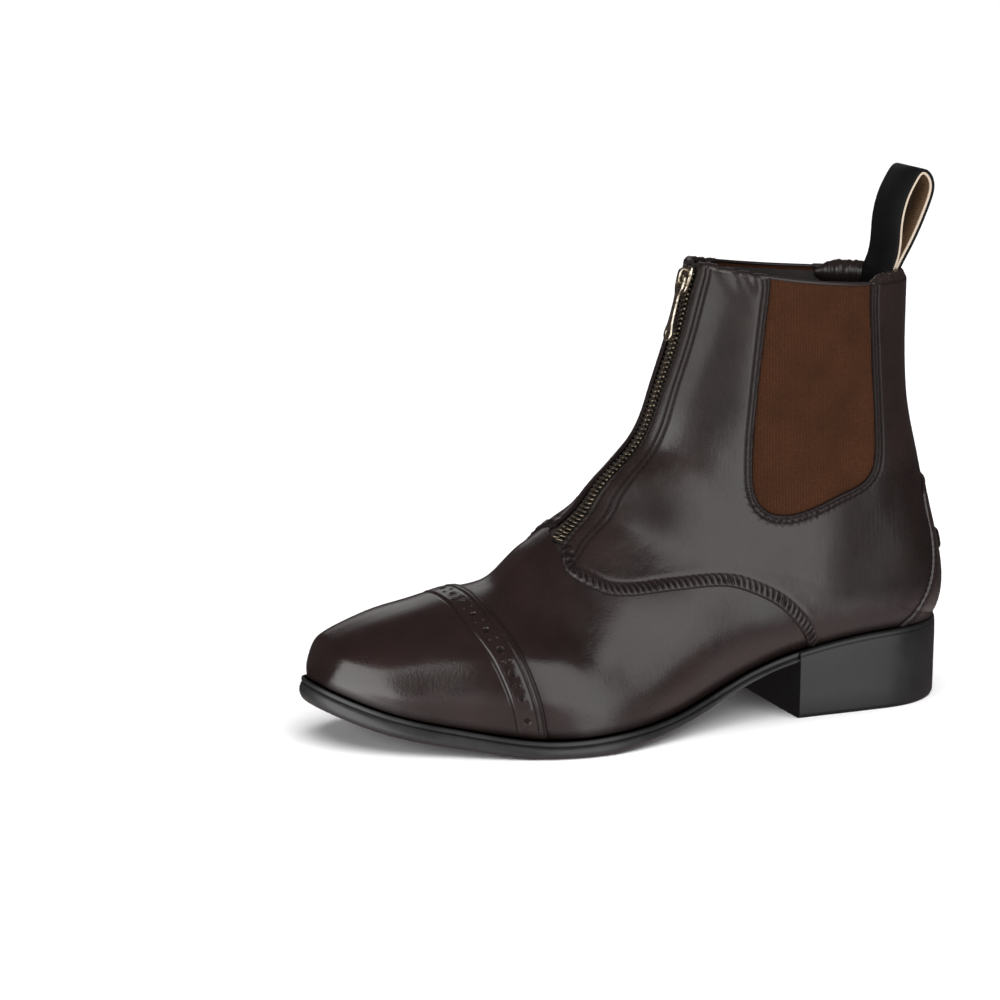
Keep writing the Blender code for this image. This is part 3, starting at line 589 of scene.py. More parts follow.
def leather_paint(name, shade, gloss, swell=0.1):
    """Polished calf: fine pebbled grain, faint hair lines, dyed edges that go darker and duller, and painted
    shade wherever else the edge mark is low: in stitch grooves, between seam ridges, in punched holes, in
    hollows and by the sole.
    """
    paint, tree, shader = paint_base(name, shade, gloss, Coat_Roughness=0.2)
    place, edge = own_place(tree), own_mark(tree, "edge")
    cloud = noise(tree, place, 38.0, 5.0, 0.6)
    warm = (1.22 * shade[0], 1.08 * shade[1], 1.02 * shade[2])
    black = (0.35 * shade[0], 0.33 * shade[1], 0.33 * shade[2], 1.0)
    dyed = colour_ramp(tree, cloud, [(0.3, times(shade, 0.72)), (0.52, shade), (0.75, warm)])
    rough = ranged(tree, cloud, 0.3, 0.7, gloss - 0.05, gloss + 0.09)
    satin = ranged(tree, edge, 0.8, 1.7, 0.14, 0.0)
    rough = add_node(tree, "ShaderNodeMath", {0: rough, 1: satin}, operation="ADD").outputs["Value"]
    grain = add_node(tree, "ShaderNodeTexVoronoi", {"Vector": place, "Scale": 1300.0, "Smoothness": 0.6},
                     feature="SMOOTH_F1").outputs["Distance"]
    # A low edge mark mixes the colour toward black: dye on the cut edges, painted shade in grooves, holes,
    # hollows and by the sole.
    finish(tree, shader,
           {"Base Color": mixed(tree, "MIX", ranged(tree, edge, 0.0, 1.6, 0.7, 0.0), dyed, black),
            "Roughness": rough,
            "Specular IOR Level": ranged(tree, edge, 0.0, 1.4, 0.06, 0.5),
            "Coat Weight": ranged(tree, edge, 0.4, 1.6, 0.0, 0.22)},
           (noise(tree, place, 130.0, 3.0), swell, 0.001),
           (noise(tree, place, (900.0, 900.0, 90.0), 3.0, 0.55), 0.05 + 0.45 * swell, 0.0003),
           (grain, 0.16, -0.0002), (noise(tree, place, 2600.0, 2.0), 0.08, 0.0001))
    return paint


# Side outlines shared with the panels over the wall: x, z
GORE_FRONT = [(90.3, 184.8), (92.5, 170.5), (95.6, 147.0), (98.0, 123.7), (98.7, 107.7), (98.0, 99.5),
              (94.5, 93.0), (88.0, 90.0), (80.6, 89.9), (70.0, 92.6), (57.0, 97.3), (47.3, 101.7),
              (43.5, 107.0), (41.9, 115.2), (41.9, 137.0), (43.0, 160.0), (43.6, 171.8), (43.4, 184.2)]
GORE_LINE = np.vstack([[(90.0, 215.0)], smooth_line(GORE_FRONT), [(43.4, 184.2)], [(43.4, 215.0)]])
GORE_DOWN = 150.0
ZIP_LINE = np.array([[0.0, 0.0], [60.0, 0.0], [95.0, 0.0], [116.0, 0.012], [140.0, 0.055], [165.0, 0.118]])
ZIP_SLIT = 11.0
ZIP_END = 151.0
ZIP_END_SLANT = 0.85


def zip_frame(u):
    """Path of the zip down the front, with its normal and the direction across it."""
    across = spline(ZIP_LINE[:, 0], ZIP_LINE[:, 1], u)
    points = np.array([surface(a, b)[0, 0] for a, b in zip(u, across)])
    down = np.array([surface(a + 0.5, b)[0, 0] - surface(max(a - 0.5, 0.0), b)[0, 0]
                     for a, b in zip(u, across)])
    side = np.array([surface(a, b + 0.02)[0, 0] - surface(a, b - 0.02)[0, 0] for a, b in zip(u, across)])
    normal = unit(np.cross(down, side))
    return points, normal, unit(side - normal * (side * normal).sum(axis=1)[:, None])


def slit_distance(rows):
    """Distance from the long slit of the zip, whose lower end is cut on a slant."""
    u = np.linspace(0, ZIP_END + 8.0, 240)
    path, normal, side = zip_frame(u)
    gap = np.full(len(rows), 1e9)
    front = (np.abs(rows[:, ACROSS]) < 0.5) & (rows[:, DOWN] < 230.0)
    spots = rows[front, POINT]
    near = ((spots[:, None, :] - path[None]) ** 2).sum(axis=2).argmin(axis=1)
    along = unit(np.gradient(path, axis=0))
    reach = spots - path[near]
    lateral = (reach * side[near]).sum(axis=1)
    place = travel(path)
    beyond = (reach * along[near]).sum(axis=1) + place[near] - np.interp(ZIP_END, u, place)
    beyond -= ZIP_END_SLANT * lateral
    gap[front] = np.maximum(np.abs(lateral) - ZIP_SLIT / 2, beyond)
    return gap


net_rows, net_faces = lasted_net(NET_STEP, NET_COLUMNS)
gore_field = leather_distance(net_rows, net_faces, -side_distance(net_rows, GORE_LINE)[0])
gore_field = np.where(net_rows[:, DOWN] > GORE_DOWN, 99.0, gore_field)
slit_field = slit_distance(net_rows)
GORE, SLIT = OWN, OWN + 1
net_rows = with_columns(net_rows, gore_field, slit_field)

calf = leather_paint("brown calf", (0.0112, 0.0065, 0.0061), 0.24)
GORE_TURN_IN = 4.0
ZIP_TURN_IN = 3.0


def foot_shade(rows, mark=20.0):
    """Edge mark that also paints shade on the strip of leather just above the sole."""
    return np.minimum(mark, 0.36 * (rows[:, 2] - seat(rows[:, 0])))


wall_field = np.minimum.reduce([gore_field - GORE_TURN_IN, slit_field - ZIP_TURN_IN,
                                net_rows[:, COLLAR] - 1.0])
rows, faces = trim(with_columns(net_rows, wall_field), net_faces, OWN + 2)
lift = relief(rows)
panel_piece("upper_wall", rows, faces, WALL_TOP + lift, WALL_INSIDE + lift, calf, "upper", "upper",
            "edge", foot_shade(rows))


# Quarters. Brown calf panels laid over the wall, from the vamp seam to the collar and round
# the back, with folded edges beside the gores and the zip and a whipped seam below.
QUARTER_SEAM = [(176.9, 90.0), (177.4, 85.5), (178.6, 81.0), (180.0, 76.6), (180.4, 73.0), (178.2, 69.9),
                (172.5, 66.4), (166.8, 63.5), (160.5, 62.2), (154.4, 61.9), (144.5, 62.4), (132.2, 62.7),
                (119.8, 62.6), (109.2, 61.3), (100.2, 57.8), (90.9, 52.7), (83.4, 46.0), (76.7, 38.3),
                (71.5, 30.6), (66.5, 22.0)]
QUARTER_LINE = np.vstack([[(200.0, 230.0), (200.0, 120.0), (178.0, 94.0)], smooth_line(QUARTER_SEAM),
                          [(66.5, 22.0), (66.5, 0.0), (-40.0, 0.0), (-40.0, 230.0)]])
QUARTER_UNDER = -0.95
QUARTER_TOP = 0.2
FOLD_ROUND = 1.2
FOLD_THIN = 0.12
SEAM_BAND = 5.5
SEAM_PITCH = 2.8
GORE_ROWS = (1.5, 3.4)
ZIP_ROWS = (5.0, 7.2)
WHIP_ROW = 3.0
WHIP_HALF = 2.6
WHIP_TOP = 106.0
ROW_DENT = 0.4
PUCKER_REACH = 11.0
PUCKER_X = 84.0
# Strengths of the painted shade and duller polish on the front of the shaft, the hollow of the heel and the
# ankle
SHADE_DULL_SHAFT, SHADE_DULL_HOLLOW, SHADE_DULL_ANKLE = 0.75, 1.05, 1.05


def groove(distance, depth, width=0.8):
    """Soft dent that a row of stitches pulls into the leather."""
    return -depth * np.exp(-(distance / width) ** 2)


def cut_panel(field, wanted, rounds, spare=2.0):
    """Net of one panel, refined and cut along its edge: rows, faces and distance from the edge."""
    rows, faces = trim(with_columns(net_rows, field), net_faces, EDGE, -spare)
    rows, faces = trim(*refine(rows, faces, wanted, rounds), EDGE)
    return rows, faces, rows[:, EDGE]


def folded(edge, under, top, radius):
    """Height of a panel whose edge is turned in."""
    return under + FOLD_THIN + (top - under - FOLD_THIN) * edge_round(edge, radius)


seam_side, seam_place = side_distance(net_rows, QUARTER_LINE)
seam_field = leather_distance(net_rows, net_faces, seam_side)
SEAM, PLACE, GORE_PLACE, EDGE = OWN + 2, OWN + 3, OWN + 4, OWN + 5
gore_place = side_distance(net_rows, GORE_LINE)[1]
net_rows = with_columns(net_rows, seam_field, seam_place, gore_place)
quarter_field = np.minimum.reduce([seam_field, gore_field, slit_field, net_rows[:, COLLAR] + 0.5])


def quarter_grain(middle):
    """Size of the net's sides: fine by the seam and the folded edges."""
    band = np.abs(middle[:, SEAM] - SEAM_BAND / 2) < SEAM_BAND / 2 + 1.5
    edge = middle[:, EDGE] < 9.0
    whip = (middle[:, GORE] < 6.5) & (middle[:, 2] < 112.0)
    streaked = np.hypot((middle[:, 0] - STREAK_X) / 13.0, (middle[:, 2] - STREAK_Z) / 14.0) < 1.1
    sewn = (middle[:, GORE] < 5.5) | (np.abs(middle[:, SLIT] - 6.0) < 2.6)
    return np.where(band | whip | streaked | sewn, 0.75, np.where(edge, 1.3, 3.0))


rows, faces, edge = cut_panel(quarter_field, quarter_grain, 2)
height = folded(edge, QUARTER_UNDER, QUARTER_TOP, FOLD_ROUND)
for row in GORE_ROWS:
    height += groove(rows[:, GORE] - row, ROW_DENT, 0.55)
for row in ZIP_ROWS:
    height += groove(rows[:, SLIT] - row, ROW_DENT, 0.6)
in_band = np.clip(1.0 - np.abs(rows[:, SEAM] - SEAM_BAND / 2) / (SEAM_BAND / 2), 0, 1)
twist = np.cos(2 * math.pi * (rows[:, PLACE] + 0.3 * rows[:, SEAM]) / SEAM_PITCH)
height += np.sqrt(in_band) * (0.10 + 0.30 * twist) + groove(rows[:, SEAM] - SEAM_BAND - 0.3, 0.25, 0.9)
below_gore = np.clip((WHIP_TOP - rows[:, 2]) / 8.0, 0, 1)
in_whip = np.clip(1.0 - np.abs(rows[:, GORE] - WHIP_ROW) / WHIP_HALF, 0, 1) * below_gore
whip = np.cos(2 * math.pi * (rows[:, GORE_PLACE] + 0.6 * rows[:, GORE]) / SEAM_PITCH)
height += np.sqrt(in_whip) * (0.04 + 0.06 * whip)
pucker = np.clip(1.0 - rows[:, COLLAR] / PUCKER_REACH, 0, 1) ** 1.5
pucker *= np.clip((rows[:, 0] - PUCKER_X) / 8.0, 0, 1)
height += pucker * (0.5 * np.sin(rows[:, 0] / 1.25 + 0.25 * rows[:, COLLAR]) - 0.2)
lift = relief(rows)
mark = np.where(rows[:, SEAM] < edge + 0.1, 0.9 + edge, edge)
# Painted shade: the mark darkens the leather in the grooves of the stitch rows beside the gores and the zip,
# and in the hollows between the ridges of the vamp seam and of the whip under the gores.
for column, lines in ((GORE, GORE_ROWS), (SLIT, ZIP_ROWS)):
    for line in lines:
        mark = np.minimum(mark, 1.4 * np.abs(rows[:, column] - line))
mark = np.minimum(mark, 1.6 - 1.7 * np.sqrt(in_band) * np.clip(0.25 - 1.1 * twist, 0, 1))
mark = np.minimum(mark, 1.6 - 1.5 * np.sqrt(in_whip) * np.clip(0.1 - 1.1 * whip, 0, 1))
# Painted shade with a duller polish: the colour is darkened, and the shine lowered, over the front of the
# shaft, the hollow of the heel and the ankle
shaft_front = np.clip((rows[:, 0] - 96.0) / 10.0, 0, 1) * np.clip((rows[:, 2] - 112.0) / 25.0, 0, 1)
heel_hollow = np.clip((72.0 - rows[:, 0]) / 16.0, 0, 1) * np.clip((rows[:, 2] - 44.0) / 10.0, 0, 1)
heel_hollow *= np.clip((112.0 - rows[:, 2]) / 10.0, 0, 1)
ankle = np.exp(-((rows[:, 0] - 138.0) / 11.0) ** 2 - ((rows[:, 2] - 94.0) / 11.0) ** 2)
shade_and_dull = np.maximum.reduce([SHADE_DULL_SHAFT * shaft_front, SHADE_DULL_HOLLOW * heel_hollow, SHADE_DULL_ANKLE * ankle])
mark = np.minimum(mark, 1.7 - shade_and_dull)
quarter = rows, faces, height + lift
quarter_calf = leather_paint("quarter calf", (0.0114, 0.0066, 0.0062), 0.31, 0.32)
panel_piece("quarter_leather", *quarter, QUARTER_UNDER + lift, quarter_calf, "quarters", "quarters",
            "edge", foot_shade(rows, mark))


# Stitches. Waxed brown thread in lock stitch: double rows beside the gores and the zip,
# slanting rows over the vamp seam and under each gore.
THREAD = 0.62
STITCH_LONG = 2.3
STITCH_PITCH = 2.9
WHIP_STITCH = (4.0, 0.74, 0.52)
FINE_STITCH = (1.9, 0.5, 0.5)


def bead_tree():
    """Node tree that strings one small object along a path of edges."""
    tree = bpy.data.node_groups.new("string of beads", "GeometryNodeTree")
    for name, kind in (("Geometry", "Geometry"), ("Bead", "Object"), ("Pitch", "Float"), ("Slant", "Float"),
                       ("Paint", "Material")):
        tree.interface.new_socket(name, in_out="INPUT", socket_type="NodeSocket" + kind)
    tree.interface.new_socket("Geometry", in_out="OUTPUT", socket_type="NodeSocketGeometry")
    source = add_node(tree, "NodeGroupInput").outputs
    curve = add_node(tree, "GeometryNodeMeshToCurve", {"Mesh": source["Geometry"]}).outputs["Curve"]
    spaced = add_node(tree, "GeometryNodeResampleCurve", {"Curve": curve, "Length": source["Pitch"]},
                      mode="LENGTH")
    up = add_node(tree, "GeometryNodeInputNamedAttribute", {"Name": "up"}, data_type="FLOAT_VECTOR")
    along = add_node(tree, "GeometryNodeInputTangent").outputs["Tangent"]
    turned = add_node(tree, "FunctionNodeAxesToRotation",
                      {"Primary Axis": up.outputs["Attribute"], "Secondary Axis": along},
                      primary_axis="Z", secondary_axis="X").outputs["Rotation"]
    slant = add_node(tree, "ShaderNodeCombineXYZ", {"Z": source["Slant"]}).outputs["Vector"]
    slanted = add_node(tree, "FunctionNodeRotateRotation", {"Rotation": turned, "Rotate By": slant},
                       rotation_space="LOCAL").outputs["Rotation"]
    bead = add_node(tree, "GeometryNodeObjectInfo", {"Object": source["Bead"]}).outputs["Geometry"]
    placed = add_node(tree, "GeometryNodeInstanceOnPoints",
                      {"Points": spaced.outputs["Curve"], "Instance": bead, "Rotation": slanted})
    real = add_node(tree, "GeometryNodeRealizeInstances", {"Geometry": placed.outputs["Instances"]})
    painted = add_node(tree, "GeometryNodeSetMaterial",
                       {"Geometry": real.outputs["Geometry"], "Material": source["Paint"]})
    add_node(tree, "NodeGroupOutput", {"Geometry": painted.outputs["Geometry"]})
    return tree


def run_tree(item, tree, values):
    """Turns an object with a node tree into a plain mesh."""
    step = item.modifiers.new(tree.name, "NODES")
    step.node_group = tree
    for socket in tree.interface.items_tree:
        if socket.in_out == "INPUT" and socket.name in values:
            step[socket.identifier] = values[socket.name]
    bpy.context.view_layer.update()
    ready = item.evaluated_get(bpy.context.evaluated_depsgraph_get())
    mesh = bpy.data.meshes.new_from_object(ready)
    item.modifiers.remove(step)
    item.data = mesh
    mesh.shade_smooth()
    return item


def bead_item(name, size, bevel=None):
    """Small rounded block, or a grain of thread where no bevel is given; size in millimetres."""
    work = bmesh.new()
    if bevel is None:
        bmesh.ops.create_uvsphere(work, u_segments=6, v_segments=5, radius=0.5)
        for corner in work.verts:
            corner.co = Vector((corner.co.z, corner.co.x, corner.co.y))
    else:
        bmesh.ops.create_cube(work, size=1.0)
    for corner in work.verts:
        corner.co = Vector([c * s * MM for c, s in zip(corner.co, size)])
    if bevel is not None:
        bmesh.ops.bevel(work, geom=work.edges[:], offset=bevel * MM, segments=1, profile=0.5, affect="EDGES")
    bmesh.ops.triangulate(work, faces=work.faces[:])
    mesh = bpy.data.meshes.new(name)
    work.to_mesh(mesh)
    work.free()
    return bpy.data.objects.new(name, mesh)


STRING = bead_tree()


def seam_path(rows, faces, height, column, level, kept, sink=0.0):
    """One level of a column as a path of edges on the finished leather, with its upward directions."""
    near = np.abs(rows[faces, column].mean(axis=1) - level) < 4.0
    cut, _, ends = split(with_columns(rows, height), faces[near], column, level)
    ends = ends[kept((cut[ends[:, 0]] + cut[ends[:, 1]]) / 2)]
    used, ends = np.unique(ends, return_inverse=True)
    spots = cut[used]
    return spots[:, POINT] + spots[:, NORMAL] * (spots[:, -1:] - sink), spots[:, NORMAL], ends.reshape(-1, 2)


def string_beads(name, paths, bead, pitch, slant, paint, slot, node=None):
    """One piece of beads along several paths, each of points, upward directions and edges."""
    starts = np.cumsum([0] + [len(path[0]) for path in paths])
    points = np.vstack([path[0] for path in paths])
    item = new_item(name, points, np.vstack([path[2] + start for path, start in zip(paths, starts)]).tolist())
    ups = np.vstack([path[1] for path in paths]).astype(np.float32)
    item.data.attributes.new("up", "FLOAT_VECTOR", "POINT").data.foreach_set("vector", ups.ravel())
    run_tree(item, STRING, {"Bead": bead, "Pitch": pitch * MM, "Slant": slant, "Paint": paint})
    return fit_piece(item, slot, node)


def thread_paint(name, colour):
    """Waxed thread with the twist of its plies."""
    paint, tree, shader = paint_base(name, colour, 0.6, Specular_IOR_Level=0.15)
    twist = noise(tree, own_place(tree), 3200.0, 2.0)
    shades = colour_ramp(tree, twist, [(0.35, times(colour, 0.5)), (0.65, colour)])
    finish(tree, shader, {"Base Color": shades}, (twist, 0.4, 0.0001))
    return paint


brown_thread = thread_paint("brown thread", (0.016, 0.010, 0.009))
dark_thread = thread_paint("dark thread", (0.006, 0.0045, 0.0045))
grain = bead_item("stitch", (STITCH_LONG, THREAD, THREAD))


def on_quarter(line_edge, down=1000.0):
    """Stitches stay clear of the panel's other edges."""
    return lambda middle: ((middle[:, EDGE] > line_edge - 0.3) & (middle[:, COLLAR] > 1.5)
                           & (middle[:, DOWN] < down))


paths = [seam_path(*quarter, GORE, row, on_quarter(row)) for row in GORE_ROWS]
paths += [seam_path(*quarter, SLIT, row, on_quarter(min(row, 2.0), ZIP_END - 2.0)) for row in ZIP_ROWS]
string_beads("edge_stitches", paths, grain, STITCH_PITCH, 0.0, brown_thread, "quarters")
whip_grain = bead_item("whip stitch", WHIP_STITCH)
for name, column, level, kept, sink, slant in (
        ("vamp_seam_stitches", SEAM, SEAM_BAND / 2,
         lambda middle: (middle[:, GORE] > 3.0) & (middle[:, SLIT] > 0.8), 0.12, -1.28),
        ("gore_seam_stitches", GORE, 2.9, lambda middle: middle[:, 2] < 102.0, 0.1, 1.15)):
    path = seam_path(*quarter, column, level, kept, sink)
    string_beads(name, [path], whip_grain, SEAM_PITCH, slant, dark_thread, "quarters")


# Gores. Brown woven elastic with close upright ribs, cut to the openings of both sides and
# sewn in under the folded edges of the quarters.
GORE_TOP = -1.2
GORE_UNDER = -2.2
RIB_PITCH = 1.35
RIB_TALL = 0.14
GORE_TUCK = 3.5
GORE_NET_DOWN = 112.0
GORE_NET_X = (36.0, 104.0)


def wave(tree, place, scale, distortion, way, detail_scale=1.0):
    values = {"Vector": place, "Scale": scale, "Distortion": distortion, "Detail Scale": detail_scale}
    return add_node(tree, "ShaderNodeTexWave", values, bands_direction=way).outputs["Fac"]


def elastic_paint():
    """Elastic cloth: rubber cords wrapped in brown yarn, with fine cross threads."""
    brown = (0.0365, 0.0135, 0.0058)
    paint, tree, shader = paint_base("brown elastic", brown, 0.95, Specular_IOR_Level=0.12)
    place = own_place(tree)
    fuzz, cloud = noise(tree, place, 1500.0, 3.0), noise(tree, place, 60.0, 3.0)
    cloth = colour_ramp(tree, own_mark(tree, "rib"), [(0.0, times(brown, 0.84)), (1.0, times(brown, 1.18))])
    for source, low, dark, high, light in ((fuzz, 0.3, 0.75, 0.7, 1.2), (cloud, 0.35, 0.88, 0.65, 1.1)):
        tone = colour_ramp(tree, source, [(low, (dark,) * 3), (high, (light,) * 3)])
        cloth = mixed(tree, "MULTIPLY", 1.0, cloth, tone)
    finish(tree, shader, {"Base Color": cloth}, (wave(tree, place, 420.0, 1.2, "Z", 2.0), 0.5, 0.0002),
           (fuzz, 0.3, 0.0001))
    return paint


def gore_net(side):
    """Net with even columns in side view, over one side of the shaft."""
    u = np.linspace(0.0, GORE_NET_DOWN, 50)
    x = np.arange(*GORE_NET_X, RIB_PITCH / 3)
    v = np.linspace(0.0, 1.0, 400)
    whole = surface(u, side * v)
    across = np.array([np.interp(-x, -line[:, 0], v) for line in whole])
    points = np.array([surface(a, side * b)[0] for a, b in zip(u, across)])
    index = np.arange(across.size).reshape(across.shape)
    a, b, c, d = cell_corners(index)
    faces = triangles((a, b, c), (a, c, d))
    flat = points.reshape(-1, 3)
    normals = corner_normals(flat, faces)
    if (normals[:, 1] * side).mean() < 0:
        faces, normals = faces[:, ::-1], -normals
    down = np.repeat(u, len(x))
    return np.column_stack([flat, normals, down, side * across.ravel(), down, np.zeros(len(flat))]), faces


elastic = elastic_paint()
for node, side in (("gore_outer", 1), ("gore_inner", -1)):
    rows, faces = gore_net(side)
    rows = with_columns(rows, GORE_TUCK + side_distance(rows, GORE_LINE)[0])
    rows, faces = trim(rows, faces, OWN)
    rib = np.cos(2 * math.pi * rows[:, 0] / RIB_PITCH)
    lift = relief(rows)
    panel_piece(node + "_elastic", rows, faces, GORE_TOP + RIB_TALL * rib + lift, GORE_UNDER + lift, elastic,
                node, node, "rib", (rib + 1) / 2)


# Lining and collar. A dark leather lining inside the wall, a rolled top edge that ruffles
# in front, a thin binding over the gores and a soft pleated roll round the back.
LINING = (-3.7, -3.0)


def plain_leather(name, colour, roughness, bump):
    """Soft lining leather: matt, with a fine grain."""
    paint, tree, shader = paint_base(name, colour, roughness)
    place = own_place(tree)
    shades = [(0.3, times(colour, 0.7)), (0.7, times(colour, 1.2))]
    grain = add_node(tree, "ShaderNodeTexVoronoi", {"Vector": place, "Scale": 1100.0}).outputs["Distance"]
    finish(tree, shader, {"Base Color": colour_ramp(tree, noise(tree, place, 90.0, 4.0), shades)},
           (grain, bump, -0.0002))
    return paint


def loft(points):
    """Closed form from a row of rings, each with the same number of points."""
    count, size = points.shape[:2]
    turn = [(k, (k + 1) % size) for k in range(size)]
    faces = [(i + k, i + n, i + size + n, i + size + k)
             for i in range(0, (count - 1) * size, size) for k, n in turn]
    faces += [tuple(range(size))[::-1], tuple((count - 1) * size + k for k in range(size))]
    return points.reshape(-1, 3), faces


def sweep(path, across, up, rings):
    """Closed form from a ring of places, across and up, at each point of a path."""
    across, up = (np.broadcast_to(way, path.shape)[:, None] for way in (across, up))
    return loft(path[:, None] + across * rings[..., :1] + up * rings[..., 1:])


def round_ring(count):
    turn = np.linspace(0, 2 * math.pi, count, endpoint=False)
    return np.stack([np.cos(turn), np.sin(turn)], -1)


rows, faces = lasted_net(5.0, 66)
rows, faces = trim(with_columns(rows, rows[:, COLLAR] - 1.5), faces, OWN)
lift = relief(rows)
lining_leather = plain_leather("lining leather", (0.020, 0.016, 0.015), 0.6, 0.3)
panel_piece("lining", rows, faces, LINING[1] + lift, LINING[0] + lift, lining_leather, "upper", None)

COLLAR_POINTS = 420
UPRIGHT = np.array([0.0, 0.0, 1.0])
GORE_SPAN = (42.5, 91.0)
PAD_HALF = (3.6, 6.0)
PAD_REACH = (43.0, 42.0)
COLLAR_MIDDLE = (64.0, 0.0)
ZIP_GAP = 0.03
v = np.linspace(-1, 1, COLLAR_POINTS, endpoint=False)
collar_line = surface(0.0, v)[0]
along = np.roll(collar_line, -1, axis=0) - np.roll(collar_line, 1, axis=0)
collar_out = unit(np.cross(along, UPRIGHT))
collar_out *= np.sign((collar_out[:, :2] * (collar_line[:, :2] - COLLAR_MIDDLE)).sum(axis=1))[:, None]
collar_x = collar_line[:, 0]
in_gore = (collar_x > GORE_SPAN[0]) & (collar_x < GORE_SPAN[1])
front = np.clip((collar_x - GORE_SPAN[1]) / 4.0, 0, 1)
ruffle = front * (0.25 * np.sin(collar_x * 1.15) + 0.12 * np.sin(collar_x * 2.3 + 1.0))
radius = np.where(in_gore, 0.85, 1.25 + 0.5 * front) + ruffle
rings = radius[:, None, None] * round_ring(10)
rings[..., 0] -= 1.6
rings[..., 1] += 0.1 + (0.5 * ruffle - 0.9 * front)[:, None]
rolled = np.abs(v) > ZIP_GAP
start = np.flatnonzero(rolled & ~np.roll(rolled, 1))[0]
order = np.arange(start, start + rolled.sum()) % COLLAR_POINTS
form = sweep(collar_line[order], collar_out[order], UPRIGHT, rings[order])
binding = leather_paint("collar leather", (0.0125, 0.008, 0.0075), 0.3)
make_piece("collar_roll", form, binding, "quarters", fields={"edge": 1.3})

reach = np.where(collar_line[:, 1] > 0, *PAD_REACH)
rear = np.flatnonzero(collar_x < reach)
order = rear[np.argsort(np.arctan2(collar_line[rear, 1], 70.0 - collar_x[rear]))]
taper = np.clip((reach - collar_x)[order] / 9.0, 0.06, 1.0) ** 0.5
place = travel(collar_line[order])
pleat = 0.6 * np.sin(place * 1.3 + 0.8 * np.sin(place * 0.37)) + 0.4 * np.sin(place * 2.3 + 0.7)
rings = round_ring(16)[None] * np.array(PAD_HALF)
rings = rings * np.stack([taper * (1 + 0.1 * pleat), taper * (1 + 0.05 * pleat)], -1)[:, None, :]
rings[..., 0] -= 3.9
rings[..., 1] -= 2.2
form = sweep(collar_line[order], collar_out[order], UPRIGHT, rings)
pad_leather = leather_paint("collar pad leather", (0.0125, 0.0080, 0.0078), 0.3)
make_piece("collar_pad", form, pad_leather, "upper", fields={"edge": 20.0})


# Zip. A closed metal zip down the front: a woven tape sewn behind the slit and brass teeth
# clenched along its two edges.
TAPE_REACH = np.array([-8.2, -5.0, -2.5, 2.5, 5.0, 8.2])
TAPE_LEVEL = (-2.5, -1.9)
TOOTH_PITCH = 2.1
TOOTH = (1.15, 3.9, 1.5)
TOOTH_REACH = 1.25
TOOTH_LEVEL = -1.2
TOOTH_POINTS = 200


def zip_strip(u, reach, level):
    """Points beside the zip line at set distances across it and a height over the last."""
    across = spline(ZIP_LINE[:, 0], ZIP_LINE[:, 1], u)
    points = []
    for a, b, out in zip(u, across, zip_frame(u)[1]):
        stretch = np.linalg.norm(surface(a, b + 0.02)[0, 0] - surface(a, b - 0.02)[0, 0]) / 0.04
        points.append(surface(a, b + np.asarray(reach) / stretch)[0] + out * level)
    return np.array(points)


def tape_paint():
    """Woven cotton tape with a twill of fine slanting ribs."""
    paint, tree, shader = paint_base("zip tape", (0.016, 0.012, 0.010), 0.85)
    twill = wave(tree, own_place(tree), 500.0, 0.8, "DIAGONAL")
    shades = colour_ramp(tree, twill, [(0.2, (0.009, 0.007, 0.006)), (0.8, (0.024, 0.018, 0.015))])
    finish(tree, shader, {"Base Color": shades}, (twill, 0.5, 0.0002))
    return paint


def metal_paint(name, bright, tarnish, roughness):
    """Antique brass: warm metal with darker tarnish in clouds and fine scratches."""
    paint, tree, shader = paint_base(name, bright, roughness, Metallic=1.0)
    place = own_place(tree)
    cloud = noise(tree, place, 420.0, 4.0)
    finish(tree, shader,
           {"Base Color": colour_ramp(tree, cloud, [(0.34, tarnish), (0.6, bright)]),
            "Roughness": ranged(tree, cloud, 0.3, 0.7, roughness + 0.12, roughness - 0.06)},
           (noise(tree, place, (300.0, 3000.0, 700.0), 2.0), 0.12, 0.0001))
    return paint


u = np.linspace(0.4, ZIP_END + 2.0, 90)
rings = [zip_strip(u, TAPE_REACH, TAPE_LEVEL[1]), zip_strip(u, TAPE_REACH[::-1], TAPE_LEVEL[0])]
make_piece("zip_tape_cloth", loft(np.concatenate(rings, axis=1)), tape_paint(), "zip_tape", "zip_tape")
tooth_brass = metal_paint("brass teeth", (0.27, 0.225, 0.165), (0.06, 0.05, 0.04), 0.38)
tooth = bead_item("tooth", TOOTH, 0.28)
paths = []
for side, start in ((-1, 3.0), (1, 3.0 + TOOTH_PITCH / 2)):
    u = np.linspace(start, ZIP_END - 4.0 + start, TOOTH_POINTS)
    spots = zip_strip(u, [side * TOOTH_REACH], TOOTH_LEVEL)[:, 0]
    steps = np.arange(TOOTH_POINTS - 1)
    paths.append((spots, zip_frame(u)[1], np.column_stack([steps, steps + 1])))
string_beads("zip_teeth", paths, tooth, TOOTH_PITCH, 0.0, tooth_brass, "zip_chain", "zip_chain")


